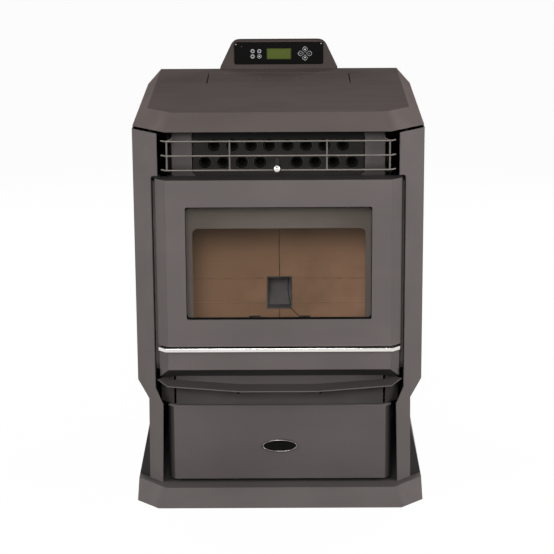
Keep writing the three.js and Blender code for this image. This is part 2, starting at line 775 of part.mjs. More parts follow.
// ---------------------------------------------------------------- fire door
// Plan of the door: flat front, soft corners, straight sides; an inset outline for its hollow.
const doorHalf = front.half + front.round;
function doorPlan(inset) {
  const wide = doorHalf - inset;
  const rear = door.back + inset;
  const corner = 8;
  const cornerY = front.y + 12 + inset * 0.6;
  const flat = front.half - inset * 0.4;
  const s = new THREE.Shape();
  s.moveTo(-wide, rear);
  s.lineTo(-wide, front.y + 30);
  s.quadraticCurveTo(-wide, front.y + 18, corner - wide, cornerY);
  s.lineTo(-flat, front.y + inset);
  s.lineTo(flat, front.y + inset);
  s.lineTo(wide - corner, cornerY);
  s.quadraticCurveTo(wide, front.y + 18, wide, front.y + 30);
  s.lineTo(wide, rear);
  return s;
}
// Door: a deep pan with a framed opening for the glass and a flat ledge behind for the gasket.
function makeDoor() {
  const shell = cut(
    alongZ(doorPlan(0), door.low, door.high, 4),
    alongZ(doorPlan(plate), door.low + plate, door.high - plate, 4),
  );
  const paneHole = (grow) => roundedBox(pane.half + grow, pane.low - grow, pane.high + grow, pane.corner + grow);
  const collar = alongY(paneHole(plate), front.y + plate / 2, front.y + pane.lip, 3);
  const inside = plate / 2;
  const open = gasket.half - gasket.width - sheet;
  const from = gasket.low + gasket.width + sheet;
  const to = gasket.high - gasket.width - sheet;
  const ledge = cut(
    box([inside - doorHalf, doorHalf - inside], [door.back - plate, door.back], [door.low + inside, door.high - inside]),
    box([-open, open], [door.back - 2 * plate, door.back + plate], [from, to]),
  );
  return cut(
    join(shell, collar, ledge),
    alongY(paneHole(0), front.y - plate, front.y + pane.lip + plate, 3),
    hingeStud(door.low - plate, door.low + 2 * plate, hinge.slack),
    hingeStud(door.high - 2 * plate, door.high + plate, hinge.slack),
  );
}
const glassFront = front.y + pane.lip + seat;
const glassBack = glassFront + pane.thick;
function makeGlass() {
  const outline = roundedBox(pane.half + pane.lap, pane.low - pane.lap, pane.high + pane.lap, pane.corner);
  return alongY(outline, glassFront, glassBack, 3);
}
// Retainer: a flat frame behind the glass, with a folded foot at each side that reaches the ledge.
function makeRetainer() {
  const r = retainer;
  const from = glassBack + seat;
  const ring = frameY(
    roundedBox(r.half, door.low + r.margin, door.high - r.margin, r.foot),
    roundedBox(pane.half - r.overlap, pane.low + r.overlap, pane.high - r.overlap, pane.corner),
    from,
    from + sheet,
  );
  const fold = box(
    [r.half - r.foot, r.half],
    [from, door.back - plate - seat],
    [door.low + r.footMargin, door.high - r.footMargin],
  );
  return join(ring, bothHands(fold));
}
// Rope gasket between the door's ledge and the face of the firebox.
function makeGasket() {
  const g = gasket;
  const w = g.width;
  return frameY(
    roundedBox(g.half, g.low, g.high, g.corner),
    roundedBox(g.half - w, g.low + w, g.high - w, g.corner - w),
    door.back + seat,
    chamber.front - seat,
  );
}

// ---------------------------------------------------------------- lower front
const trimLow = trim.high - trim.height;
const apronTop = trimLow - seat;
const apronBack = chamber.front - seat;
const recessY = front.y + front.chamfer;
const recessZ = apron.under - front.chamfer;
const apronHalf = front.half + front.chamfer;
// Plan shared by the apron's skins: flat front, 45 degree corners, then straight back.
function apronPlan(inset, rearY) {
  const ease = inset * (Math.SQRT2 - 1);
  const wide = apronHalf - inset;
  const half = front.half - ease;
  return [
    [-wide, rearY],
    [-wide, recessY + ease],
    [-half, front.y + inset],
    [half, front.y + inset],
    [wide, recessY + ease],
    [wide, rearY],
  ];
}
// Apron: folded panel under the door with a slanted underside and the recessed wall below it.
function makeApron() {
  const outer = alongZ(apronPlan(0, apronBack), recessZ, apronTop);
  const inner = alongZ(apronPlan(sheet, apronBack + 1), recessZ - 1, apronTop - sheet);
  const below = alongX([
    [front.y - 1, recessZ - 1],
    [front.y - 1, apron.under + 1],
    [recessY, recessZ],
    [recessY, recessZ - 1],
  ], -body.half, body.half);
  const slant = alongX([
    [front.y, apron.under],
    [recessY, recessZ],
    [recessY, recessZ + sheetSlant],
    [front.y + sheet, apron.under + sheetSlant - sheet],
    [front.y, apron.under + sheet],
  ], -body.half, body.half).intersect(outer);
  const wall = box([-apron.wall, apron.wall], [recessY, recessY + sheet], [apron.wallLow, recessZ + 2 * sheet]);
  const base = box([-apron.wall, apron.wall], [recessY, recessY + apron.foot], [apron.wallLow, apron.wallLow + sheet]);
  const tab = box(
    [apronHalf - sheet, cheekReach],
    [apronBack - sheet, apronBack],
    [recessZ + apron.ear, apronTop - apron.ear],
  );
  const stud = hingeStud(apronTop - 1, door.low + plate + hinge.tab, 0);
  return join(cut(outer, inner, below), slant, wall, base, bothHands(tab), stud);
}
// Bright bar under the door: a bent band whose ends follow the 45 degree corners.
function makeTrim() {
  const t = trim;
  const band = (inset, tail) => {
    const ease = inset * (Math.SQRT2 - 1);
    const y = front.y - t.proud;
    const run = t.end - t.bend;
    return [
      [-t.end + inset, y + run + t.tail + tail],
      [-t.end + inset, y + run + ease],
      [-t.bend + ease, y + inset],
      [t.bend - ease, y + inset],
      [t.end - inset, y + run + ease],
      [t.end - inset, y + run + t.tail + tail],
    ];
  };
  return cut(alongZ(band(0, 0), trimLow, t.high), alongZ(band(t.depth, 1), trimLow - 1, t.high + 1));
}

// Ash lip: a bowed strip that rises a little to the rear, on two gussets from the recessed wall.
function makeLip() {
  const l = lip;
  const rearY = l.bow + l.width;
  const half = [
    [l.gusset, l.bow],
    [l.bend, l.bendY],
    [l.end, l.endY],
    [l.rearEnd, l.rearEndY],
    [l.rearBend, l.rearBendY],
    [l.gusset - sheet, rearY],
  ];
  const left = half.map(([x, y]) => [-x, y]).reverse();
  const slope = l.rise / l.width;
  const tilt = new THREE.Matrix4().set(
    1, 0, 0, 0,
    0, 1, 0, 0,
    0, slope, 1, l.z - l.thick - slope * l.bow,
    0, 0, 0, 1,
  );
  const strip = solid(pushed([...half, ...left], 0, l.thick).applyMatrix4(tilt));
  const wallY = recessY - seat;
  const gusset = alongX([
    [l.bow + 2 * l.thick, l.z - l.thick / 2],
    [wallY, l.z - l.gussetDrop],
    [wallY, l.z - 2 * l.thick],
    [rearY - 2 * l.thick, l.z + l.rise - l.thick],
  ], l.gusset - l.gussetThick / 2, l.gusset + l.gussetThick / 2);
  return join(strip, bothHands(gusset));
}

// ---------------------------------------------------------------- ash drawer
function drawerPlan(inset) {
  const d = drawer;
  const wide = d.half + d.chamfer - inset;
  const ease = inset * (Math.SQRT2 - 1);
  return [
    [-wide, d.back + inset],
    [-wide, d.front + d.chamfer + ease],
    [ease - d.half, d.front + inset],
    [d.half - ease, d.front + inset],
    [wide, d.front + d.chamfer + ease],
    [wide, d.back + inset],
  ];
}
function makeDrawerFront() {
  const d = drawer;
  return cut(alongZ(drawerPlan(0), d.low, d.high), alongZ(drawerPlan(sheet), d.low + sheet, d.high - sheet));
}
// Pan: an open box on the plinth, let into the hollow of the drawer's front.
function makePan() {
  const p = pan;
  const frontY = drawer.front + sheet + seat;
  const low = drawer.low + sheet + seat;
  const outer = box([-p.half, p.half], [frontY, p.rear], [low, p.high]);
  const sole = box([-p.half, p.half], [drawer.back + seat, p.rear], [plinthSeat, low + p.wall / 2]);
  const inner = box([p.wall - p.half, p.half - p.wall], [frontY + p.wall, p.rear - p.wall], [low + p.wall, p.high + 1]);
  return cut(join(outer, sole), inner);
}
function ellipse(across, up, z) {
  const s = new THREE.Shape();
  s.absellipse(0, z, across, up, 0, Math.PI * 2);
  return s;
}
// Blank oval badge: a raised rim round a sunk field.
function makeBadge() {
  const b = badge;
  const back = drawer.front - seat;
  const face = back - b.thick;
  const disc = alongY(ellipse(b.across, b.up, b.z), face, back, 20);
  return cut(disc, alongY(ellipse(b.across - b.rim, b.up - b.rim, b.z), face - 1, face + b.well, 20));
}

// ---------------------------------------------------------------- firebox
const faceBack = chamber.front + chamber.face;
const chamberHigh = exchanger.low - seat;
const shellFront = faceBack + seat;
const floorTop = chamber.low + chamber.wall;
// Face plate that the door closes on, with the mouth and the block of the door's magnetic catch.
function makeFace() {
  const skin = box([-cheekReach, cheekReach], [chamber.front, faceBack], [chamber.low, chamberHigh]);
  const m = mouth;
  const c = m.corner;
  const outline = [
    [-m.half, m.low],
    [m.half, m.low],
    [m.half, m.high - c],
    [m.half - c, m.high],
    [c - m.half, m.high],
    [-m.half, m.high - c],
  ];
  const middle = (door.low + door.high) / 2;
  const magnet = box(
    [gasket.half + plate, doorHalf - plate],
    [door.back + seat, chamber.front + 1],
    [middle - 2 * gasket.width, middle + 2 * gasket.width],
  );
  return join(cut(skin, alongY(outline, chamber.front - 1, faceBack + 1)), magnet);
}
const smokeDrop = { from: flueFan.x + flueFan.width + plate, width: 60 };
// Shell: an open-fronted box with ribs behind the bricks and holes for pot, ash, chute and smoke.
function makeShell() {
  const c = chamber;
  const w = c.wall;
  const rear = brick.front + brick.thick;
  const outer = box([-c.half, c.half], [shellFront, c.rear], [c.low, chamberHigh]);
  const inner = box([w - c.half, c.half - w], [shellFront - 1, c.rear - w], [floorTop, chamberHigh - w]);
  const floor = [c.low - 1, floorTop + 1];
  const top = [chamberHigh - w - 1, chamberHigh + 1];
  const flueTop = box([-c.half + 12 * w, c.half - 12 * w], [exchanger.front + 5 * w, exchanger.rear - 5 * w], top);
  const potHole = box([-pot.half - 1, pot.half + 1], [pot.front - 1, pot.rear + 1], floor);
  const ashHole = box([pot.half + 5 * w, c.half - 6 * w], [shellFront + 8 * w, pot.rear - w], floor);
  const chuteHole = box([-spout.half - 1, spout.half + 1], [c.rear - w - 1, c.rear + 1], [spout.low - 1, spout.high + 60]);
  const smokeHole = box([smokeDrop.from, smokeDrop.from + smokeDrop.width], [rear + w, c.rear - w - 1], floor);
  const ribs = brick.ribs.map((x) =>
    bothHands(box([x - brick.rib / 2, x + brick.rib / 2], [rear + seat, c.rear - 1], [c.low + 1, brick.high])));
  return cut(join(cut(outer, inner), ...ribs), flueTop, potHole, bothHands(ashHole), chuteHole, smokeHole);
}
function makeBrick() {
  const b = brick;
  const slab = box(
    [b.seam / 2, chamber.half - chamber.wall - 1],
    [b.front, b.front + b.thick],
    [floorTop + seat, b.high],
  );
  return cut(slab, box([-1, spout.half], [b.front - 1, b.front + b.thick + 1], [spout.low, spout.high]));
}
// Burn pot: tapered cup with air holes, a collar that hangs it in the floor, and two ears.
function makePot() {
  const p = pot;
  const flank = (p.taper * 2) / 3;
  const cup = (wall, low, high) => loft([
    rectangle(p.half - p.taper - wall, p.front + flank + wall, p.rear - flank - wall, low),
    rectangle(p.half - wall, p.front + wall, p.rear - wall, high),
  ]);
  const holes = [];
  for (let i = -2; i <= 2; i++) {
    for (let j = -1; j <= 1; j++) {
      const x = i * 16;
      const y = (p.front + p.rear) / 2 + j * 14;
      holes.push(rod([x, y, p.low - 1], [x, y, p.low + p.wall + 1], p.hole, 8));
    }
  }
  const seatZ = floorTop + seat;
  const collar = cut(
    box([-p.half - 8, p.half + 8], [p.front - 8, p.rear + 8], [seatZ, seatZ + 4]),
    box([10 - p.half, p.half - 10], [p.front + 7, p.rear - 7], [seatZ - 1, seatZ + 5]),
  );
  const horn = alongY([
    [ear.from, p.high - ear.down],
    [ear.to, p.high - ear.down],
    [ear.to - ear.slant, p.high + ear.up],
    [ear.from + ear.slant, p.high + ear.up],
  ], p.rear - p.wall, p.rear);
  return join(cut(cup(0, p.low, p.high), cup(p.wall, p.low + p.wall, p.high + 1), ...holes), collar, bothHands(horn));
}
// Air box under the floor that feeds the burn pot, with ports for the intake pipe and the igniter.
function makeAirBox() {
  const a = airBox;
  const top = chamber.low - seat;
  const outer = box([-a.half, a.half], [a.front, a.rear], [a.low, top]);
  const inner = box([sheet - a.half, a.half - sheet], [a.front + sheet, a.rear - sheet], [a.low + sheet, top + 1]);
  const port = (z, r) => rod([0, a.rear - sheet - 1, z], [0, a.rear + 1, z], r, 24);
  return cut(outer, inner, port(intake.z, intake.radius - intake.wall), port(igniter.z, igniter.radius + seat));
}
function makeIntake() {
  const from = airBox.rear + seat;
  return cut(
    rod([0, from, intake.z], [0, intake.rear, intake.z], intake.radius, 24),
    rod([0, from - 1, intake.z], [0, intake.rear + 1, intake.z], intake.radius - intake.wall, 24),
  );
}
const makeIgniter = () => rod([0, igniter.from, igniter.z], [0, igniter.to, igniter.z], igniter.radius, 12);

// ---------------------------------------------------------------- warm-air outlet
// Outlet frame: the sill behind the door's top edge and the two baffles beside the tube bank.
function makeOutletFrame() {
  const b = baffle;
  const sillTop = exchanger.low + sheet;
  const sill = box([-cheekReach, cheekReach], [door.back + plate, exchanger.front - seat], [exchanger.low, sillTop]);
  const side = alongY([
    [b.inner - b.foot, sillTop - sheet / 2],
    [b.outer, sillTop - sheet / 2],
    [b.outer, coverUnder - seat],
    [b.inner, coverUnder - seat],
    [b.inner, sillTop + b.foot],
  ], b.y, b.y + sheet);
  return join(sill, bothHands(side));
}
const tubePlaces = [];
for (let i = 0; i < 8; i++) {
  tubePlaces.push([(i - 3.5) * tube.pitch, tube.upper]);
}
for (let i = 1; i <= 4; i++) {
  tubePlaces.push([i * tube.pitch, tube.lower], [-i * tube.pitch, tube.lower]);
}
const tubeBank = (from, to, radius) => tubePlaces.map(([x, z]) => rod([x, from, z], [x, to, z], radius, tube.sides));
// A round bar on the axis of the scraper's rod.
const alongScraper = (from, to, radius, sides) =>
  rod([scraper.x, from, scraper.height], [scraper.x, to, scraper.height], radius, sides);
function makeExchanger() {
  const e = exchanger;
  const w = e.wall;
  const outer = box([-e.half, e.half], [e.front, e.rear], [e.low, e.high]);
  const inner = box([w - e.half, e.half - w], [e.front + w, e.rear - w], [e.low - 1, e.high - w]);
  const slot = scraper.rod + scraper.slide;
  const rodHole = alongScraper(e.front - 1, e.front + w + 1, slot, 12);
  return cut(
    join(cut(outer, inner), ...tubeBank(e.front - tube.proud, e.rear + tube.proud, tube.radius)),
    ...tubeBank(e.front - tube.proud - 1, e.rear + tube.proud + 1, tube.radius - tube.wall),
    rodHole,
  );
}
function makeScraperPlate() {
  const s = scraper;
  const half = exchanger.half - s.margin;
  const edge = tube.radius + s.margin;
  const skin = box([-half, half], [s.at, s.at + s.thick], [tube.lower - edge, tube.upper + edge]);
  return cut(skin, ...tubeBank(s.at - 1, s.at + s.thick + 1, tube.radius + s.slack));
}
const knobSeat = scraper.knobY + scraper.knob / 2;
const makeScraperRod = () => alongScraper(knobSeat, scraper.at - seat, scraper.rod, 12);
function makeKnob() {
  const s = scraper;
  const ball = new THREE.SphereGeometry(s.knob, 20, 12).rotateX(Math.PI / 2).translate(s.x, s.knobY, s.height);
  const neck = alongScraper(s.knobY, s.knobY + s.knob + plate, s.neck, 16);
  const socket = alongScraper(knobSeat - seat, s.knobY + 2 * s.knob, s.rod + seat, 12);
  return cut(join(solid(ball), neck), socket);
}
// Grille: three bars bent back at their ends, four uprights behind them and two legs to the baffles.
function makeGrille() {
  const g = grille;
  const levels = [0, 1, 2].map((i) => g.top - i * g.pitch);
  const bars = levels.map((z) => {
    const tip = rod([g.half - g.bar / 3, g.y, z], [g.half + g.tip, g.y + g.tip, z], g.bar, 8);
    return join(rod([-g.half, g.y, z], [g.half, g.y, z], g.bar, 8), bothHands(tip));
  });
  const back = g.y + 1.8 * g.bar;
  const upright = (x) => rod([x, back, levels[2] - g.bar], [x, back, levels[0] + g.bar], g.bar, 8);
  const inner = g.outer - g.leg;
  const kneeY = back + 2 * g.leg;
  const leg = join(
    rod([g.outer, back, g.top], [inner, kneeY, g.top], g.bar, 8),
    rod([inner, kneeY - 1, g.top], [inner, baffle.y - seat, g.top], g.bar, 8),
  );
  return join(...bars, bothHands(join(upright(g.outer), upright(g.inner), leg)));
}

// ---------------------------------------------------------------- flue fan
function scroll(fan, from, to, grow) {
  const s = new THREE.Shape();
  s.absarc(fan.y, fan.z, fan.radius + grow, 0, Math.PI * 2);
  return alongX(s, from, to, 8);
}
const across = (fan, from, to, radius, sides = 24) =>
  rod([from, fan.y, fan.z], [to, fan.y, fan.z], radius, sides);
const flueMid = flueFan.x + flueFan.width / 2;
const flueOutZ = flueFan.z - flueFan.radius + flueFan.outlet - sheet;
// Housing: a drum with an eye towards the duct and an outlet stub through the rear panel.
function makeFlueFan() {
  const f = flueFan;
  const to = f.x + f.width;
  const stub = (radius, rear) => rod([flueMid, f.y, flueOutZ], [flueMid, rear, flueOutZ], radius, 28);
  const drumHollow = scroll(f, f.x + plate, to - plate, -plate);
  const throat = stub(f.outlet - sheet, f.rear + 1).intersect(box([f.x + plate, to - plate], [f.y, f.rear + 2], [0, f.z]));
  const bore = stub(f.outlet - sheet, f.rear + 1).subtract(scroll(f, f.x - f.outlet, to + f.outlet, 0));
  const neck = stub(f.outlet, f.rear).subtract(scroll(f, f.x - f.outlet, to + f.outlet, -plate));
  const eye = across(f, to - plate - 1, to + 1, f.eye, 20);
  const shaft = across(f, f.x - 1, f.x + plate + 1, flueWheel.hub + 2 * seat, 12);
  return cut(join(scroll(f, f.x, to, 0), neck), drumHollow, throat, bore, eye, shaft);
}
function makeFlueWheel() {
  const f = flueFan;
  const w = flueWheel;
  const from = f.x + plate + w.gap;
  const blades = [];
  for (let i = 0; i < w.blades; i++) {
    const blade = new THREE.BoxGeometry(w.blade, w.tall, sheet);
    blade.translate(from + w.disc + w.blade / 2 - seat, w.radius - w.tall / 2 - sheet, 0);
    blade.rotateX((i / w.blades) * Math.PI * 2).translate(0, f.y, f.z);
    blades.push(solid(blade));
  }
  return join(
    across(f, from, from + w.disc, w.radius),
    across(f, f.x - 2 * plate, from + w.blade / 2, w.hub, 12),
    ...blades,
  );
}
function makeFlueMotor() {
  const f = flueFan;
  const can = across(f, f.x - flueMotor.long, f.x - seat, flueMotor.radius);
  return cut(can, across(f, f.x - 3 * plate, f.x + 1, flueWheel.hub + 2 * seat, 12));
}
// Smoke duct from the passage behind the bricks to the eye of the flue fan.
function makeDuct() {
  const f = flueFan;
  const from = f.x + f.width + seat;
  const to = from + duct.width;
  const ahead = chamber.rear - duct.ahead;
  const top = chamber.low - seat;
  const outline = (wall, above) => [
    [f.y - f.radius + wall, f.z - duct.drop + wall],
    [f.y + duct.reach - wall, f.z - duct.drop + wall],
    [f.y + duct.reach - wall, f.z + duct.reach - wall],
    [chamber.rear - wall, f.z + duct.reach - wall],
    [chamber.rear - wall, top + above],
    [ahead + wall, top + above],
    [ahead + wall, f.z + wall],
  ];
  return cut(
    alongX(outline(0, 0), from, to),
    alongX(outline(sheet, 1), from + sheet, to - sheet),
    across(f, from - 1, from + sheet + 1, f.eye, 20),
  );
}

// ---------------------------------------------------------------- room fan
// Housing: a drum with an eye in each side, an outlet upwards and two feet on the plinth.
function makeRoomFan() {
  const f = roomFan;
  const to = f.x + f.width;
  const throat = (wall, above) => box(
    [f.x + wall, to - wall],
    [f.y - f.radius + wall, f.y - f.radius + f.throat - wall],
    [f.z, f.z + f.outlet + above],
  );
  const half = f.eye * 0.7;
  const feet = [f.x, to - sheet].map((x) =>
    box([x, x + sheet], [f.y - half, f.y + half], [plinthSeat, f.z - f.radius + 4 * sheet]));
  return cut(
    join(scroll(f, f.x, to, 0), throat(0, 0), ...feet),
    scroll(f, f.x + sheet, to - sheet, -sheet),
    throat(sheet, 1),
    across(f, f.x - 1, to + 1, f.eye),
  );
}
// Drum wheel: an open ring at one end, a hub disc at the other and slanted blades between them.
function makeDrum() {
  const f = roomFan;
  const d = drum;
  const from = f.x + d.gap;
  const to = f.x + f.width - d.gap;
  const ring = cut(across(f, from, from + d.thick, d.radius), across(f, from - 1, from + d.thick + 1, d.radius - d.ring));
  const blades = [];
  for (let i = 0; i < d.blades; i++) {
    const blade = new THREE.BoxGeometry(to - from - sheet, d.blade, sheet * 0.7);
    blade.rotateX(0.5).translate((from + to) / 2, d.radius - 6, 0);
    blade.rotateX((i / d.blades) * Math.PI * 2).translate(0, f.y, f.z);
    blades.push(solid(blade));
  }
  const shaft = across(f, to - 30, f.x + f.width + 2 * plate - 1, d.shaft, 12);
  return join(ring, across(f, to - d.thick, to, d.radius), shaft, ...blades);
}
function makeRoomMotor() {
  const f = roomFan;
  const m = roomMotor;
  const from = f.x + f.width + seat;
  const arm = box([from, from + plate], [f.y - m.arm, f.y + m.arm], [f.z - m.armHigh / 2, f.z + m.armHigh / 2]);
  const socket = across(f, from - 1, from + 2 * plate, drum.shaft + 2 * seat, 12);
  return cut(join(across(f, from, from + m.long, m.radius), arm), socket);
}

// Appliance inlet in the rear panel: a flanged socket with three flat pins.
function makeInlet() {
  const i = inlet;
  const bottom = body.rear - i.depth;
  const face = casingRear + seat + sheet;
  const x = (inset) => [i.x - i.half + inset, i.x + i.half - inset];
  const z = (inset) => [i.z - i.high + inset, i.z + i.high - inset];
  const shell = join(box(x(seat), [bottom, face], z(seat)), box(x(-i.lap), [casingRear + seat, face], z(-i.lap)));
  const well = box(x(plate), [bottom + plate, face + 1], z(2 * plate));
  const pins = [-1, 0, 1].map((k) => box(
    [i.x - 1, i.x + 1],
    [bottom + sheet, body.rear - plate],
    [i.z + k * 10 - 2.5, i.z + k * 10 + 2.5],
  ));
  return join(cut(shell, well), ...pins);
}

// ---------------------------------------------------------------- assembly
const stove = new THREE.Group();
function add(name, made, colour, roughness, metalness) {
  const material = new THREE.MeshStandardMaterial({ color: colour, roughness, metalness });
  const mesh = new THREE.Mesh(geometryOf(made), material);
  mesh.name = name;
  stove.add(mesh);
}
const painted = (name, made) => add(name, made, 0x5f5854, 0.55, 0.2);
const blackened = (name, made) => add(name, made, 0x24211f, 0.7, 0.2);
const zinced = (name, made) => add(name, made, 0x9a9a98, 0.45, 0.7);
const chromed = (name, made) => add(name, made, 0xe1dcd4, 0.12, 1);
const moulded = (name, made) => add(name, made, 0x141313, 0.4, 0);
function inPair(name, made, finish) {
  finish("right_" + name, made);
  finish("left_" + name, mirrored(made));
}

painted("base_plinth", makePlinth());
inPair("side_panel", makeSidePanel(), painted);
inPair("pedestal_side", makePedestalSide(), painted);
blackened("right_inner_frame", makeCheek());
blackened("left_inner_frame", join(mirrored(makeCheek()), makeHingeTab()));
painted("rear_panel", makeRearPanel());
painted("top_cover", makeCover());
painted("hopper_lid", makeFlap());
blackened("hopper_lid_seal", makeSeal());
zinced("pellet_hopper", makeHopper());
zinced("hopper_funnel", makeFunnel());
zinced("auger_tube", makeAugerTube());
zinced("auger_screw", makeScrew());
blackened("auger_motor", makeAugerMotor());
zinced("fuel_chute", makeChute());
painted("console_housing", makeConsole());
moulded("console_keypad", makeKeypad());
add("console_screen", makeScreen(), 0x8b9440, 0.2, 0);
for (const [name, outline] of Object.entries(keyOutlines)) {
  moulded(name, makeKey(outline));
}
painted("door_frame", makeDoor());
add("door_glass", makeGlass(), 0x2a2320, 0.05, 0);
blackened("glass_retainer", makeRetainer());
add("door_gasket", makeGasket(), 0x3a3734, 1, 0);
chromed("trim_bar", makeTrim());
painted("front_apron", makeApron());
painted("ash_lip", makeLip());
painted("ash_drawer_front", makeDrawerFront());
moulded("drawer_badge", makeBadge());
zinced("ash_pan", makePan());
blackened("firebox_face", makeFace());
blackened("firebox_shell", makeShell());
inPair("firebrick", makeBrick(), (name, made) => add(name, made, 0x7a5f48, 0.95, 0));
add("burn_pot", makePot(), 0x3c3a38, 0.8, 0.4);
blackened("burn_air_box", makeAirBox());
zinced("air_intake_pipe", makeIntake());
zinced("igniter", makeIgniter());
painted("outlet_frame", makeOutletFrame());
blackened("heat_exchanger", makeExchanger());
zinced("scraper_plate", makeScraperPlate());
zinced("scraper_rod", makeScraperRod());
chromed("scraper_knob", makeKnob());
blackened("front_grille", makeGrille());
blackened("flue_fan_housing", makeFlueFan());
zinced("flue_fan_wheel", makeFlueWheel());
blackened("flue_fan_motor", makeFlueMotor());
blackened("smoke_duct", makeDuct());
blackened("room_fan_housing", makeRoomFan());
zinced("room_fan_wheel", makeDrum());
blackened("room_fan_motor", makeRoomMotor());
moulded("power_inlet", makeInlet());

stove.position.y = -(plinth.front + flueFan.rear) / 2;
export default stove;
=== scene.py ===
# Looks of the pellet stove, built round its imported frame. Metres, +Z up, the front faces -Y.
import json
import math
import random

import bmesh
import bpy
from mathutils import Matrix, Vector


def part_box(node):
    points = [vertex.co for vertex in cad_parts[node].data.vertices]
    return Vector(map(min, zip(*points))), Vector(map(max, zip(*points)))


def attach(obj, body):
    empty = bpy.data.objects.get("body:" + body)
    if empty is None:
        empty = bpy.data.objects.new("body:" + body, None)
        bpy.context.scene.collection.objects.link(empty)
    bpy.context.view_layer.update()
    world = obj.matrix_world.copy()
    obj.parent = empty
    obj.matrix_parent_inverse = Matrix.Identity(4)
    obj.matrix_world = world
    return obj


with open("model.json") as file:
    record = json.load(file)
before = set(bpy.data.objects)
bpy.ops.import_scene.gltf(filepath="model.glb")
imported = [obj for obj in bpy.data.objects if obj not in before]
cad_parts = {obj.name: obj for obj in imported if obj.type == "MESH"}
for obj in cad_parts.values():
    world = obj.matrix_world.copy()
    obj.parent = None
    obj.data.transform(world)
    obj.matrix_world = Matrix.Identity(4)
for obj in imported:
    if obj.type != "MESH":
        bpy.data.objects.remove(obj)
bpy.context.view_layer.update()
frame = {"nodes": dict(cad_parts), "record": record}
MM = 0.001
DATUM_Y = -215.95  # the frame's y, in millimetres, of the top cover's front corner
random.seed(11)


def at(x, y, z):
    """A point in millimetres, with y measured from the top cover's front corner."""
    return Vector((x, y + DATUM_Y, z)) * MM


def y_of(y):
    """The frame's y of a y in millimetres that is measured from the top cover's front corner."""
    return (y + DATUM_Y) * MM


def in_metres(pairs):
    return [(a * MM, b * MM) for a, b in pairs]


# ---------------------------------------------------------------- camera
IMAGE = 554  # the photograph is this many pixels wide and high
FOCAL = 1987  # focal length in the same pixels
CAMERA_PLACE = Vector((0.01743, -4.23089, 1.58366))
PITCH = math.radians(15.46)
YAW = math.radians(0.31)
ROLL = math.radians(-0.35)


def make_camera():
    """The photograph's camera, as fitted to the stove's straight edges."""
    data = bpy.data.cameras.new("camera")
    data.sensor_width = 36
    data.lens = FOCAL / IMAGE * data.sensor_width
    data.clip_end = 100
    forward = Vector((
        -math.sin(YAW) * math.cos(PITCH),
        math.cos(YAW) * math.cos(PITCH),
        -math.sin(PITCH),
    ))
    right = Vector((math.cos(YAW), math.sin(YAW), 0))
    up = right.cross(forward)
    tilted = math.cos(ROLL) * right + math.sin(ROLL) * up
    upright = math.cos(ROLL) * up - math.sin(ROLL) * right
    camera = bpy.data.objects.new("camera", data)
    turn = Matrix((tilted, upright, -forward)).transposed().to_4x4()
    camera.matrix_world = Matrix.Translation(CAMERA_PLACE) @ turn
    bpy.context.scene.collection.objects.link(camera)
    bpy.context.scene.camera = camera


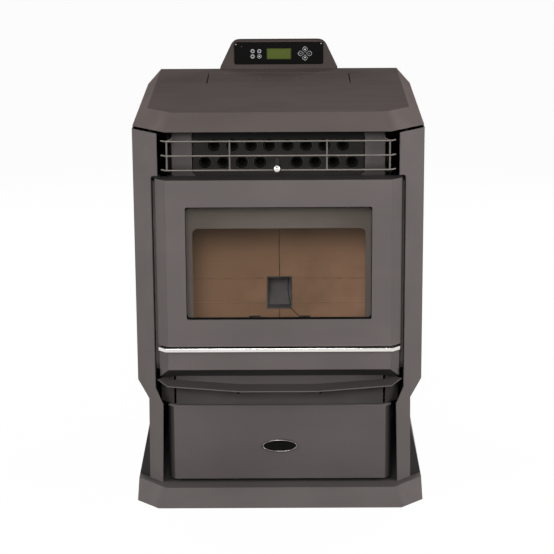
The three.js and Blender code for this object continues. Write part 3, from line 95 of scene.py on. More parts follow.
# ---------------------------------------------------------------- node materials
class Finish:
    """A node material in the making. Its lengths are metres of the frame."""

    def __init__(self, name, colour, roughness, metallic=0.0):
        self.material = bpy.data.materials.new(name)
        self.material.use_nodes = True
        self.tree = self.material.node_tree
        self.shader = self.tree.nodes["Principled BSDF"]
        self.set("Base Color", (*colour, 1))
        self.set("Roughness", roughness)
        self.set("Metallic", metallic)
        self.place = self.add("ShaderNodeTexCoord").outputs["Object"]

    def set(self, socket, value):
        self.shader.inputs[socket].default_value = value

    def add(self, kind, **settings):
        node = self.tree.nodes.new(kind)
        for key, value in settings.items():
            setattr(node, key, value)
        return node

    def put(self, value, socket):
        """Links an output, or sets a constant, on an input socket."""
        if isinstance(value, bpy.types.NodeSocket):
            self.tree.links.new(value, socket)
        else:
            socket.default_value = value

    def link(self, output, socket):
        self.tree.links.new(output, self.shader.inputs[socket])

    def math(self, operation, a, b=0.0, clamp=False):
        node = self.add("ShaderNodeMath", operation=operation, use_clamp=clamp)
        self.put(a, node.inputs[0])
        self.put(b, node.inputs[1])
        return node.outputs[0]

    def axes(self):
        node = self.add("ShaderNodeSeparateXYZ")
        self.put(self.place, node.inputs[0])
        return node.outputs

    def stretched(self, factors):
        node = self.add("ShaderNodeVectorMath", operation="MULTIPLY")
        self.put(self.place, node.inputs[0])
        node.inputs[1].default_value = factors
        return node.outputs[0]

    def noise(self, size, detail=2.0, place=None):
        """Cloudy pattern whose patches are about size across."""
        node = self.add("ShaderNodeTexNoise")
        self.put(place or self.place, node.inputs["Vector"])
        node.inputs["Scale"].default_value = 1 / size
        node.inputs["Detail"].default_value = detail
        return node.outputs["Fac"]

    def cells(self, size, output="Distance"):
        """Crystal pattern whose cells are about size across."""
        node = self.add("ShaderNodeTexVoronoi")
        self.put(self.place, node.inputs["Vector"])
        node.inputs["Scale"].default_value = 1 / size
        return node.outputs[output]

    def span(self, value, low, high, to_low=0.0, to_high=1.0):
        """Maps low..high to to_low..to_high and stops at both ends."""
        node = self.add("ShaderNodeMapRange")
        self.put(value, node.inputs["Value"])
        node.inputs["From Min"].default_value = low
        node.inputs["From Max"].default_value = high
        node.inputs["To Min"].default_value = to_low
        node.inputs["To Max"].default_value = to_high
        return node.outputs["Result"]

    def facing(self, axis):
        """How far the surface faces along an axis (0 = x, 1 = y, 2 = z) of its own body."""
        node = self.add("ShaderNodeSeparateXYZ")
        self.put(self.add("ShaderNodeTexCoord").outputs["Normal"], node.inputs[0])
        return node.outputs[axis]

    def near(self, value, centre, reach):
        """1 where value is at centre, falling to 0 at reach from it."""
        away = self.math("ABSOLUTE", self.math("SUBTRACT", value, centre))
        return self.span(away, 0, reach, 1, 0)

    def blend(self, factor, a, b):
        """Mixes two colours, each an RGB tuple or an output."""
        node = self.add("ShaderNodeMix", data_type="RGBA")
        colours = [s for s in node.inputs if s.type == "RGBA"]
        self.put(factor, node.inputs["Factor"])
        for socket, colour in zip(colours, (a, b)):
            self.put((*colour, 1) if isinstance(colour, tuple) else colour, socket)
        return next(s for s in node.outputs if s.type == "RGBA")

    def bump(self, *layers):
        """Each layer is (height, depth in metres); they are stacked into one normal."""
        normal = None
        for height, depth in layers:
            node = self.add("ShaderNodeBump")
            self.put(height, node.inputs["Height"])
            node.inputs["Distance"].default_value = depth
            if normal:
                self.put(normal, node.inputs["Normal"])
            normal = node.outputs["Normal"]
        self.link(normal, "Normal")


def scaled(colour, factor):
    return tuple(c * factor for c in colour)


def paint(name, colour, roughness=0.62, specular=0.1, shaded=None, painted_highlight=None):
    """Powder coat: fine grain, faint clouds of colour and a little dust.

    shaded(finish) gives how much of the colour is lost to painted shade, from 0 to 1,
    and the last argument how far an edge is lightened by a painted highlight."""
    f = Finish(name, colour, roughness)
    f.set("Specular IOR Level", specular)
    clouds = f.noise(0.16, 3)
    streaks = f.noise(0.03, 4, f.stretched((0.12, 1.0, 0.5)))
    mottled = f.blend(f.span(clouds, 0.3, 0.7), scaled(colour, 0.93), scaled(colour, 1.07))
    streaked = f.blend(f.span(streaks, 0.45, 0.75, 0, 0.22), mottled, scaled(colour, 1.35))
    specks = f.span(f.cells(0.0035), 0.0, 0.09, 1, 0)
    rare = f.math("MULTIPLY", specks, f.span(f.noise(0.02, 1), 0.62, 0.7))
    dust_and_painted_light = f.blend(f.math("MULTIPLY", rare, 0.35), streaked, scaled(colour, 1.9))
    # painted highlight: edges lightened as if lit
    if painted_highlight:
        dust_and_painted_light = f.blend(painted_highlight(f), dust_and_painted_light, scaled(colour, 2.4))
    # painted shade: colour darkened where shade falls
    if shaded:
        dust_and_painted_light = f.blend(shaded(f), dust_and_painted_light, scaled(colour, 0.04))
    f.link(dust_and_painted_light, "Base Color")
    f.link(f.span(clouds, 0.3, 0.7, roughness - 0.05, roughness + 0.06), "Roughness")
    grain = f.noise(0.0011, 2)
    peel = f.noise(0.006, 1)
    f.bump((grain, 0.00006), (peel, 0.00005))
    return f.material


def galvanised(name, colour=(0.42, 0.42, 0.41)):
    """Zinc-coated sheet with its crystal flakes."""
    f = Finish(name, colour, 0.4, 0.85)
    flakes = f.cells(0.012, output="Color")
    grey = f.add("ShaderNodeRGBToBW")
    f.put(flakes, grey.inputs[0])
    shade = f.blend(grey.outputs[0], scaled(colour, 0.72), scaled(colour, 1.15))
    dull = f.span(f.noise(0.05, 4), 0.5, 0.75, 0, 0.35)
    f.link(f.blend(dull, shade, scaled(colour, 0.5)), "Base Color")
    f.link(f.span(grey.outputs[0], 0, 1, 0.3, 0.5), "Roughness")
    f.bump((f.noise(0.002, 2), 0.00004))
    return f.material


def chrome(name, colour=(0.78, 0.755, 0.725)):
    """Polished plating with long wiping marks."""
    f = Finish(name, colour, 0.1, 1.0)
    smears = f.noise(0.02, 4, f.stretched((0.2, 1.0, 1.0)))
    f.link(f.span(smears, 0.35, 0.8, 0.08, 0.22), "Roughness")
    f.link(f.blend(f.span(smears, 0.45, 0.8, 0, 0.35), colour, scaled(colour, 0.8)), "Base Color")
    f.bump((f.noise(0.0015, 2), 0.00001))
    return f.material


def black_heat_paint(name, colour, roughness=0.7, specular=0.15):
    """Matt stove paint with clouds of soot."""
    f = Finish(name, colour, roughness)
    f.set("Specular IOR Level", specular)
    tone_shift = f.noise(0.06, 4)
    f.link(f.blend(f.span(tone_shift, 0.35, 0.7), scaled(colour, 0.75), scaled(colour, 1.3)), "Base Color")
    f.bump((f.noise(0.0014, 2), 0.0001), (f.noise(0.02, 3), 0.0001))
    return f.material


FILM_TOP = (0.6, 0.64)  # heights between which the film darkens upwards
RETAINER_FOOT = (0.4072, 0.4062)  # heights between which the retainer turns black downwards


def ash_film(name, foot=False):
    """Brown film of ash on what lies behind the glass; foot blackens the retainer's lower bar."""
    colour = (0.165, 0.138, 0.118)
    f = Finish(name, colour, 0.85)
    f.set("Specular IOR Level", 0.1)
    _, _, z = f.axes()
    film = f.blend(f.span(f.noise(0.12, 3), 0.3, 0.7), scaled(colour, 0.93), scaled(colour, 1.07))
    film = f.blend(f.span(z, *FILM_TOP, 0, 0.35), film, scaled(colour, 0.45))
    if foot:
        film = f.blend(f.span(z, *RETAINER_FOOT), film, scaled(colour, 0.03))
    f.link(film, "Base Color")
    f.bump((f.noise(0.0014, 2), 0.0001))
    return f.material


def clear_glass(name):
    f = Finish(name, (0.05, 0.042, 0.035), 0.04)
    f.set("Alpha", 0.07)
    f.set("Specular IOR Level", 0.5)
    f.link(f.span(f.noise(0.05, 4), 0.4, 0.8, 0.03, 0.16), "Roughness")
    return f.material


def woven_rope(name):
    colour = (0.05, 0.046, 0.042)
    f = Finish(name, colour, 0.95)
    x, y, z = f.axes()
    along = f.math("ADD", f.math("ADD", x, z), y)
    against = f.math("SUBTRACT", f.math("SUBTRACT", x, z), y)
    strands = [f.math("SINE", f.math("MULTIPLY", v, 2 * math.pi / 0.004)) for v in (along, against)]
    weave = f.math("MAXIMUM", *strands)
    f.link(f.blend(f.span(weave, -0.2, 1), scaled(colour, 0.4), scaled(colour, 1.6)), "Base Color")
    f.bump((weave, 0.0006), (f.noise(0.0006, 2), 0.0002))
    return f.material


JOINTS_IN_BRICK = (0.3606, 0.415, 0.4485)  # heights of the lines scored across the board
DARKER_HEIGHTS = (0.4, 0.58)  # the board darkens upwards between these
DARKER_ACROSS = (-0.02, -0.16)  # and to the left between these


def fire_board(name):
    """Pressed board: sandy grain, scored lines, and darker towards the top and the left."""
    warm = (0.57, 0.325, 0.19)
    f = Finish(name, warm, 0.92)
    f.set("Specular IOR Level", 0.2)
    x, _, z = f.axes()
    patches = f.noise(0.05, 4)
    mottled = f.blend(f.span(patches, 0.3, 0.7), scaled(warm, 0.84), scaled(warm, 1.12))
    height = f.span(z, *DARKER_HEIGHTS)
    leftward = f.span(x, *DARKER_ACROSS, 0, 0.42)
    tone_shift = f.math("ADD", f.math("MULTIPLY", height, 0.6), leftward)
    cloudy = f.math("MULTIPLY", tone_shift, f.span(patches, 0.25, 0.75, 0.5, 1.2), clamp=True)
    darkened = f.blend(cloudy, mottled, (0.26, 0.16, 0.09))
    wobble = f.math("MULTIPLY", f.math("SUBTRACT", f.noise(0.02, 2), 0.5), 0.0022)
    level = f.math("ADD", z, wobble)
    low, middle, high = JOINTS_IN_BRICK
    pale = f.math("MULTIPLY", f.near(level, low, 0.0011), 0.55)
    dark = f.math("MULTIPLY", f.near(level, low - 0.0016, 0.0014), 0.5)
    lined = f.blend(pale, f.blend(dark, darkened, (0.2, 0.12, 0.08)), (0.75, 0.5, 0.34))
    smudges = f.span(f.noise(0.018, 3), 0.45, 0.65, 0.12, 0.6)
    smudged = f.math("MULTIPLY", f.near(level, middle, 0.0035), smudges)
    lined = f.blend(smudged, lined, (0.18, 0.11, 0.07))
    lined = f.blend(f.math("MULTIPLY", f.near(level, high, 0.0012), 0.2), lined, (0.7, 0.47, 0.3))
    grains = f.noise(0.0016, 2)
    f.link(f.blend(f.span(grains, 0.35, 0.7, 0, 0.3), lined, scaled(warm, 0.62)), "Base Color")
    f.bump((grains, 0.0003), (patches, 0.0008), (f.near(level, low, 0.0015), -0.0004))
    return f.material


def cast_iron(name):
    colour = (0.05, 0.047, 0.044)
    f = Finish(name, colour, 0.75, 0.3)
    ash = f.span(f.noise(0.012, 4), 0.5, 0.75)
    f.link(f.blend(ash, colour, (0.13, 0.11, 0.095)), "Base Color")
    f.bump((f.noise(0.0018, 3), 0.0003))
    return f.material


def moulded(name):
    """Moulded black plastic with a fine grain."""
    colour = (0.0035, 0.0032, 0.003)
    roughness = 0.42
    f = Finish(name, colour, roughness)
    f.set("Specular IOR Level", 0.05)
    f.link(f.span(f.noise(0.01, 3), 0.3, 0.7, roughness - 0.06, roughness + 0.08), "Roughness")
    f.link(f.blend(f.noise(0.004, 2), scaled(colour, 0.7), scaled(colour, 1.4)), "Base Color")
    f.bump((f.noise(0.0007, 2), 0.00003))
    return f.material


def rubber(name):
    f = Finish(name, (0.02, 0.02, 0.02), 0.8)
    f.link(f.blend(f.noise(0.02, 3), (0.014, 0.014, 0.014), (0.03, 0.029, 0.028)), "Base Color")
    f.bump((f.noise(0.001, 2), 0.00005))
    return f.material


def printed(name, colour):
    """Screen print on the keypad and the keys."""
    f = Finish(name, colour, 0.5)
    f.link(f.blend(f.noise(0.001, 2), scaled(colour, 0.85), scaled(colour, 1.1)), "Base Color")
    return f.material


def display(name):
    """Unlit liquid-crystal window: olive, a little darker round its edge."""
    low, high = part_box("console_screen")
    f = Finish(name, (0.075, 0.098, 0.022), 0.25)
    f.set("Specular IOR Level", 0.1)
    x, _, z = f.axes()
    sides = f.near(x, (low.x + high.x) / 2, (high.x - low.x) / 2)
    levels = f.near(z, (low.z + high.z) / 2, (high.z - low.z) / 2)
    inside = f.math("MINIMUM", f.span(sides, 0.02, 0.12), f.span(levels, 0.04, 0.2))
    dots = f.span(f.cells(0.0012), 0.2, 0.6, 0.0, 0.12)
    glass = f.blend(dots, (0.09, 0.118, 0.028), (0.072, 0.093, 0.022))
    f.link(f.blend(inside, (0.05, 0.062, 0.018), glass), "Base Color")
    return f.material


# Where the shades below begin and end, in metres of the frame: heights, or distances from the middle.
DRAWER_SIDE = (0.223, 0.233)
DRAWER_FOOT = (0.18, 0.06)
DOOR_SIDE = (0.2535, 0.2585)
RECESS_DEPTH = ((DATUM_Y - 52) * MM, (DATUM_Y - 49) * MM)
RECESS_TOP = (0.296, 0.284)
RECESS_ACROSS = (0.15, 0.225)
OUTLET_TOP = (0.77, 0.784)
OUTLET_FOOT = (0.716, 0.704)
TUBE_SHEET_TOP = (0.755, 0.775)


def sideways(f, low, high, most):
    """0 on faces that look ahead or up, rising to most on those that look to a side."""
    return f.span(f.math("ABSOLUTE", f.facing(0)), low, high, 0, most)


def return_shade(f):
    """The pedestal's turned-in front lies in the shade of the strip before it."""
    return f.span(f.facing(1), -0.5, -0.6, 0, 0.85)


def lip_shade(f):
    """Painted shade on the lip's top, which lies in shadow under the apron; its folded edge keeps its
    full colour.
    """
    return f.span(f.facing(2), 0.75, 0.9, 0, 0.68)


def drawer_shade(f):
    """Painted shade: the drawer's folded sides darken into the gap beside them, and its face darkens a
    little downwards.
    """
    x, _, z = f.axes()
    depth = f.span(f.math("ABSOLUTE", x), *DRAWER_SIDE, 0.55, 1)
    foot = f.span(z, *DRAWER_FOOT, 0, 0.12)
    return f.math("MAXIMUM", f.math("MULTIPLY", sideways(f, 0.3, 0.65, 1), depth), foot)


def top_edge_highlight(f):
    """Painted highlight: the drawer's upper edge is lightened as if lit."""
    return f.span(f.facing(2), 0.35, 0.6, 0, 0.5)


def edge_shade(f, most):
    """Slanted sides lose a little light, and their last few millimetres lie in the gap beside them."""
    x, _, _ = f.axes()
    depth = f.span(f.math("ABSOLUTE", x), *DOOR_SIDE, most, 0.95)
    return f.math("MULTIPLY", sideways(f, 0.3, 0.7, 1), depth)


def door_shade(f):
    """The door's top edge lies in the dark under the grille."""
    return f.math("MAXIMUM", edge_shade(f, 0.1), f.span(f.facing(2), 0.6, 0.85, 0, 0.7))


def apron_shade(f):
    """Painted shade under the apron, down to the wall behind the ash lip."""
    downward = f.span(f.facing(2), -0.35, -0.6, 0, 0.78)
    x, y, z = f.axes()
    behind = f.span(y, *RECESS_DEPTH, 0, 0.4)
    outward = f.span(f.math("ABSOLUTE", x), *RECESS_ACROSS, 1, 1.6)
    below = f.math("MULTIPLY", f.math("MULTIPLY", behind, outward), f.span(z, *RECESS_TOP))
    return f.math("MAXIMUM", f.math("MAXIMUM", edge_shade(f, 0.2), downward), below)


def plinth_shade(f):
    """Painted shade: the plinth's front is a little darker than its cut corners, and its top ledge is
    dark.
    """
    upward = f.span(f.facing(2), 0.5, 0.85, 0, 0.6)
    ahead = f.span(f.facing(1), -0.6, -0.74, 0, 0.42)
    return f.math("MAXIMUM", upward, ahead)


def cover_shade(f):
    """Painted shade on the cover's middle slope and flat top, which stay darker than its corners."""
    ahead = f.math("MULTIPLY", f.span(f.facing(1), -0.25, -0.45), sideways(f, 0.35, 0.1, 1))
    flat = f.span(f.facing(2), 0.93, 0.98, 0, 0.1)
    return f.math("MAXIMUM", f.math("MULTIPLY", ahead, 0.27), flat)


def outlet_shade(f):
    """The outlet's side plates are pale in their middle and dark under the cover and on the sill."""
    _, _, z = f.axes()
    above = f.span(z, *OUTLET_TOP, 0, 0.85)
    sill = f.span(f.facing(2), 0.5, 0.8, 0, 0.8)
    return f.math("MAXIMUM", f.math("MAXIMUM", above, sill), f.span(z, *OUTLET_FOOT, 0, 0.45))


def bank_shade(f):
    """The tube sheet darkens towards its top."""
    _, _, z = f.axes()
    return f.span(z, *TUBE_SHEET_TOP, 0, 0.85)


def wire_shade(f):
    """The wires' pale colour is a painted highlight on their tops, and their undersides get painted
    shade.
    """
    return f.span(f.facing(2), 0.3, -0.3, 0, 0.6)


BODY = (0.132, 0.115, 0.113)
body_paint = paint("body_paint", BODY)
# The cover's paint is lightened so its corner facets look lit: painted light, with painted shade put
# back on its middle slope and flat top.
top_paint = paint("top_paint", (0.151, 0.126, 0.119), specular=0.0, shaded=cover_shade)
pedestal_paint = paint("pedestal_paint", BODY, shaded=return_shade)
lip_paint = paint("lip_paint", BODY, shaded=lip_shade)
# The drawer's paint is a darker copy of the body's: painted shade for its lower, dimmer front.
drawer_paint = paint("drawer_paint", scaled(BODY, 0.88), shaded=drawer_shade, painted_highlight=top_edge_highlight)
door_paint = paint("door_paint", BODY, shaded=door_shade)
apron_paint = paint("apron_paint", BODY, shaded=apron_shade)
# The plinth's paint is a lightened copy of the body's so its cut corners look lit: painted light.
plinth_paint = paint("plinth_paint", scaled(BODY, 1.42), shaded=plinth_shade)
outlet_paint = paint("outlet_paint", BODY, shaded=outlet_shade)
console_paint = paint("console_paint", (0.078, 0.063, 0.059), specular=0.0)
# A darkened copy of the body paint: painted shade for the recess under the apron.
recess_shade_paint = paint("recess_shade_paint", scaled(BODY, 0.3))
inner_paint = black_heat_paint("inner_paint", (0.012, 0.0115, 0.011))
tube_paint = paint("tube_paint", (0.024, 0.022, 0.021), 0.6, 0.1, shaded=bank_shade)
rim_paint = paint("rim_paint", (0.04, 0.038, 0.036), 0.5, 0.15, shaded=bank_shade)
mouth_paint = black_heat_paint("mouth_paint", (0.004, 0.004, 0.004), 0.8, 0.05)
# The black wires get a pale colour as a painted highlight on their tops.
wire_paint = paint("wire_paint", (0.2, 0.18, 0.162), 0.4, 0.3, shaded=wire_shade)
ash_paint = ash_film("ash_paint")
retainer_paint = ash_film("retainer_paint", foot=True)
chute_paint = black_heat_paint("chute_paint", (0.205, 0.195, 0.185), 0.7, 0.1)
zinc = galvanised("zinc")
bright = chrome("bright_chrome")
glass = clear_glass("door_glass")
rope = woven_rope("rope")
board = fire_board("fire_board")
iron = cast_iron("cast_iron")
black_plastic = moulded("black_plastic")
dark_chrome = chrome("dark_chrome", (0.36, 0.34, 0.32))
seal_rubber = rubber("seal_rubber")
print_grey = printed("print_grey", (0.36, 0.37, 0.38))
print_white = printed("print_white", (0.75, 0.75, 0.74))
print_dim = printed("print_dim", (0.1, 0.1, 0.11))
lamp_amber = printed("lamp_amber", (0.1, 0.06, 0.045))
dull_steel = galvanised("dull_steel", (0.2, 0.195, 0.19))
lcd = display("lcd")

NODE_FINISH = {
    "body_paint": body_paint,
    "black_paint": inner_paint,
    "zinc_sheet": zinc,
    "chrome": bright,
    "glass": glass,
    "rope": rope,
    "firebrick": board,
    "cast_pot": iron,
    "black_plastic": black_plastic,
    "screen": lcd,
    "seal_rubber": seal_rubber,
}
OWN_FINISH = {
    "top_cover": top_paint,
    "hopper_lid": top_paint,
    "front_grille": wire_paint,
    "right_pedestal_side": pedestal_paint,
    "left_pedestal_side": pedestal_paint,
    "ash_lip": lip_paint,
    "ash_drawer_front": drawer_paint,
    "door_frame": door_paint,
    "front_apron": apron_paint,
    "base_plinth": plinth_paint,
    "outlet_frame": outlet_paint,
    "console_housing": console_paint,
    "heat_exchanger": tube_paint,
    "firebox_face": ash_paint,
    "firebox_shell": ash_paint,
    "fuel_chute": chute_paint,
    "glass_retainer": retainer_paint,
}


# ---------------------------------------------------------------- what every CAD node gets
def node_group(name):
    group = bpy.data.node_groups.new(name, "GeometryNodeTree")
    group.interface.new_socket("Geometry", in_out="INPUT", socket_type="NodeSocketGeometry")
    group.interface.new_socket("Geometry", in_out="OUTPUT", socket_type="NodeSocketGeometry")
    return group, group.nodes.new("NodeGroupInput"), group.nodes.new("NodeGroupOutput")


CORNER_GAP = 0.005 * MM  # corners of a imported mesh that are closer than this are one
SHARP = math.radians(34)  # an edge sharper than this stays an edge
FLAT = math.radians(0.5)  # faces that differ by less than this are one
LARGE = 0.05  # a node longer than this is sheet work, and others are small parts


def make_knit():
    """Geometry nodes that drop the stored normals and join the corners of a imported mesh."""
    group, start, end = node_group("knit")
    bare = group.nodes.new("GeometryNodeRemoveAttribute")
    bare.inputs["Name"].default_value = "custom_normal"
    weld = group.nodes.new("GeometryNodeMergeByDistance")
    weld.inputs["Distance"].default_value = CORNER_GAP
    group.links.new(start.outputs[0], bare.inputs["Geometry"])
    group.links.new(bare.outputs["Geometry"], weld.inputs["Geometry"])
    group.links.new(weld.outputs["Geometry"], end.inputs[0])
    return group


def make_smooth():
    """Geometry nodes that shade smoothly over every edge that isn't SHARP."""
    group, start, end = node_group("smooth")
    every_face = group.nodes.new("GeometryNodeSetShadeSmooth")
    every_face.domain = "FACE"
    every_edge = group.nodes.new("GeometryNodeSetShadeSmooth")
    every_edge.domain = "EDGE"
    angle = group.nodes.new("GeometryNodeInputMeshEdgeAngle")
    blunt = group.nodes.new("FunctionNodeCompare")
    blunt.operation = "LESS_THAN"
    blunt.inputs[1].default_value = SHARP
    group.links.new(start.outputs[0], every_face.inputs["Geometry"])
    group.links.new(every_face.outputs[0], every_edge.inputs["Geometry"])
    group.links.new(angle.outputs["Unsigned Angle"], blunt.inputs[0])
    group.links.new(blunt.outputs[0], every_edge.inputs["Shade Smooth"])
    group.links.new(every_edge.outputs[0], end.inputs[0])
    return group


knit = make_knit()
smooth = make_smooth()
SHARP_NODES = {"auger_screw", "door_glass", "console_screen"}
SMALL_EDGE = 0.25 * MM  # width of the rounding on small parts
SHEET_EDGE = 0.6 * MM  # and on sheet work


def finish_node(name, obj, material):
    """Material, rounded edges and even shading for one CAD node."""
    obj.data.materials.clear()
    obj.data.materials.append(material)
    obj.modifiers.new("knit", "NODES").node_group = knit
    if name not in SHARP_NODES:
        flat = obj.modifiers.new("flat", "DECIMATE")
        flat.decimate_type = "DISSOLVE"
        flat.angle_limit = FLAT
        edge = obj.modifiers.new("edge", "BEVEL")
        edge.width = SHEET_EDGE if max(obj.dimensions) > LARGE else SMALL_EDGE
        edge.segments = 2
        edge.limit_method = "ANGLE"
        edge.angle_limit = SHARP
    obj.modifiers.new("smooth", "NODES").node_group = smooth
    even = obj.modifiers.new("even", "WEIGHTED_NORMAL")
    even.keep_sharp = True


def finish_nodes():
    """Every CAD node gets its own finish, or else the one of its material slot."""
    slot_of = {part["node"]: part["material_slot"] for part in frame["record"]["subparts"]}
    for name, obj in frame["nodes"].items():
        finish_node(name, obj, OWN_FINISH.get(name, NODE_FINISH[slot_of[name]]))


# ---------------------------------------------------------------- mesh helpers
def piece(name, mesh_maker, material, body, shade_smooth=True):
    """A new object from a function that fills a bmesh, riding on a body."""
    mesh = bmesh.new()
    mesh_maker(mesh)
    bmesh.ops.recalc_face_normals(mesh, faces=mesh.faces)
    data = bpy.data.meshes.new(name)
    mesh.to_mesh(data)
    mesh.free()
    data.materials.append(material)
    obj = bpy.data.objects.new(name, data)
    bpy.context.scene.collection.objects.link(obj)
    if shade_smooth:
        obj.modifiers.new("smooth", "NODES").node_group = smooth
    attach(obj, body)


def bridged(mesh, rings, closed=False, capped=True):
    """Skins equal rings of points, one after the other."""
    made = [[mesh.verts.new(p) for p in ring] for ring in rings]
    pairs = list(zip(made, made[1:]))
    if closed:
        pairs.append((made[-1], made[0]))
    for a, b in pairs:
        for i in range(len(a)):
            j = (i + 1) % len(a)
            mesh.faces.new((a[i], a[j], b[j], b[i]))
    if capped and not closed:
        mesh.faces.new(made[0])
        mesh.faces.new(made[-1])


def plate_of(mesh, outline, y, thick):
    """A thin plate that faces -Y: outline points are (x, z), y is its back."""
    soft = 0.25 * thick
    centre_x = sum(x for x, _ in outline) / len(outline)
    centre_z = sum(z for _, z in outline) / len(outline)

    def ring(depth, inset):
        points = []
        for x, z in outline:
            away = math.hypot(x - centre_x, z - centre_z) or 1
            k = 1 - inset / away
            points.append((centre_x + (x - centre_x) * k, depth, centre_z + (z - centre_z) * k))
        return points

    bridged(mesh, [ring(y, 0), ring(y - thick + soft, 0), ring(y - thick, soft)])


def band_of(mesh, outer, inner, y, thick):
    """A flat ring that faces -Y between two outlines of equally many points."""
    rings = [
        [(x, y, z) for x, z in inner],
        [(x, y, z) for x, z in outer],
        [(x, y - thick, z) for x, z in outer],
        [(x, y - thick, z) for x, z in inner],
    ]
    bridged(mesh, rings, closed=True)


def circle(x, z, radius, count):
    """A circle, as (x, z) points."""
    turns = [2 * math.pi * i / count for i in range(count)]
    return [(x + radius * math.cos(t), z + radius * math.sin(t)) for t in turns]


def rounded(half, low, high, corner, middle=0.0, steps=5):
    """A rectangle with round corners, as (x, z) points."""
    points = []
    bottom, top = low + corner, high - corner
    corners = ((1, bottom, -90), (1, top, 0), (-1, top, 90), (-1, bottom, 180))
    for side, z, start in corners:
        for i in range(steps + 1):
            turn = math.radians(start + 90 * i / steps)
            x = middle + side * (half - corner)
            points.append((x + corner * math.cos(turn), z + corner * math.sin(turn)))
    return points


def tube(mesh, path, radius, sides=10):
    """A round wire along a path of points."""
    rings = []
    for i, point in enumerate(path):
        along = (path[min(i + 1, len(path) - 1)] - path[max(i - 1, 0)]).normalized()
        if i == 0:
            across = along.orthogonal().normalized()
        else:
            across = (across - along * across.dot(along)).normalized()
        upward = along.cross(across)
        turns = [2 * math.pi * k / sides for k in range(sides)]
        rings.append([point + radius * (math.cos(a) * across + math.sin(a) * upward) for a in turns])
    bridged(mesh, rings)


def smooth_path(points, steps=6):
    """A curve through the given points."""
    path = []
    ends = [points[0], *points, points[-1]]
    for a, b, c, d in zip(ends, ends[1:], ends[2:], ends[3:]):
        for k in range(steps):
            s = k / steps
            path.append(0.5 * ((2 * b) + (c - a) * s + (2 * a - 5 * b + 4 * c - d) * s * s
                               + (3 * b - a - 3 * c + d) * s ** 3))
    return [*path, points[-1]]


def turned(mesh, centre, axis, profile, sides, facets=()):
    """A turned part. Its profile is pairs of distance along the axis and radius, in millimetres,
    and facets numbers the pairs that are hexagons."""
    across = axis.orthogonal().normalized()
    upward = axis.cross(across)
    rings = []
    for index, (along, radius) in enumerate(in_metres(profile)):
        ring = []
        for k in range(sides):
            a = 2 * math.pi * k / sides
            reach = radius
            if index in facets:
                sector = (a % (math.pi / 3)) - math.pi / 6
                reach = radius * math.cos(math.pi / 6) / math.cos(sector)
            ring.append(centre + axis * along + reach * (math.cos(a) * across + math.sin(a) * upward))
        rings.append(ring)
    bridged(mesh, rings)


# ---------------------------------------------------------------- fire door and drawer
PANE = {"half": 191.8, "low": 400, "high": 639.4}
GLASS_FACE = -61.7
SEAL = {"outer": 0.15, "inner": 1.3, "foot": 2.9, "thick": 2.2, "clear": 0.4}
SEAL_CORNERS = (4, 9)  # radii outside and inside


def make_window_seal():
    """Black strip that lines the door's opening in front of the glass."""
    half, low, high = PANE.values()

    def outline(inset, foot, round_by):
        return in_metres(rounded(half - inset, low + foot, high - inset, round_by))

    def fill(mesh):
        outer = outline(SEAL["outer"], SEAL["outer"], SEAL_CORNERS[0])
        inner = outline(SEAL["inner"], SEAL["foot"], SEAL_CORNERS[1])
        band_of(mesh, outer, inner, y_of(GLASS_FACE - SEAL["clear"]), SEAL["thick"] * MM)

    piece("window_seal", fill, mouth_paint, "firebox_door")


BADGE = {"across": 36.7, "up": 13.7, "z": 118.6, "face": -57.5}
RIM = {"inset": 1.2, "half_width": 0.6, "rise": 0.45, "sunk": 0.05}
RIM_STEPS = 8  # across the dome
RIM_SIDES = 72


def make_badge_rim():
    """Domed rim of dark chrome on the badge's raised edge."""
    def fill(mesh):
        rings = []
        for k in range(RIM_STEPS + 1):
            swing = math.pi * k / RIM_STEPS
            inset = RIM["inset"] + RIM["half_width"] * math.cos(swing)
            y = y_of(BADGE["face"] + RIM["sunk"] - RIM["rise"] * math.sin(swing))
            ring = []
            for i in range(RIM_SIDES):
                a = 2 * math.pi * i / RIM_SIDES
                x = (BADGE["across"] - inset) * math.cos(a)
                z = BADGE["z"] + (BADGE["up"] - inset) * math.sin(a)
                ring.append((x * MM, y, z * MM))
            rings.append(ring)
        bridged(mesh, rings, closed=True)

    piece("badge_rim", fill, dark_chrome, "ash_drawer")


# ---------------------------------------------------------------- knob and grille
KNOB = {"x": -2.5, "y": -82, "z": 723.5, "radius": 8.4}
KNOB_SCREW_AXIS = (0, -0.94, 0.34)
KNOB_SCREW_FOOT = (KNOB["radius"] + 0.12) * MM - 0.35 * MM  # distance from the knob's middle
KNOB_SCREW = ((-1.4, 2.3), (0, 2.3), (0.12, 2.0), (0.12, 1.25), (-0.9, 1.25))


def make_knob_screw():
    """Socket screw in the front of the knob, a little above its middle."""
    axis = Vector(KNOB_SCREW_AXIS).normalized()
    foot = at(KNOB["x"], KNOB["y"], KNOB["z"]) + axis * KNOB_SCREW_FOOT

    def fill(mesh):
        turned(mesh, foot, axis, KNOB_SCREW, 24, {3, 4})

    piece("knob_screw", fill, black_plastic, "tube_scraper")


GRILLE_LEVELS = (777, 747.1, 717.2)
GRILLE_POSTS = (-226.5, -98.8, 98.8, 226.5)
WELD_Y = -66.5
WELD_REACH = (2.3, 1.5, 2.3)


def make_welds():
    """A small uneven bead of weld where each upright meets each bar."""
    def fill(mesh):
        for x in GRILLE_POSTS:
            for z in GRILLE_LEVELS:
                centre = at(x, WELD_Y, z)
                made = bmesh.ops.create_icosphere(mesh, subdivisions=2, radius=1)
                for vert in made["verts"]:
                    bulge = 1 + random.uniform(-0.12, 0.12)
                    reach = Vector(WELD_REACH) * bulge * MM
                    vert.co = centre + vert.co * reach

    piece("grille_welds", fill, wire_paint, "root")


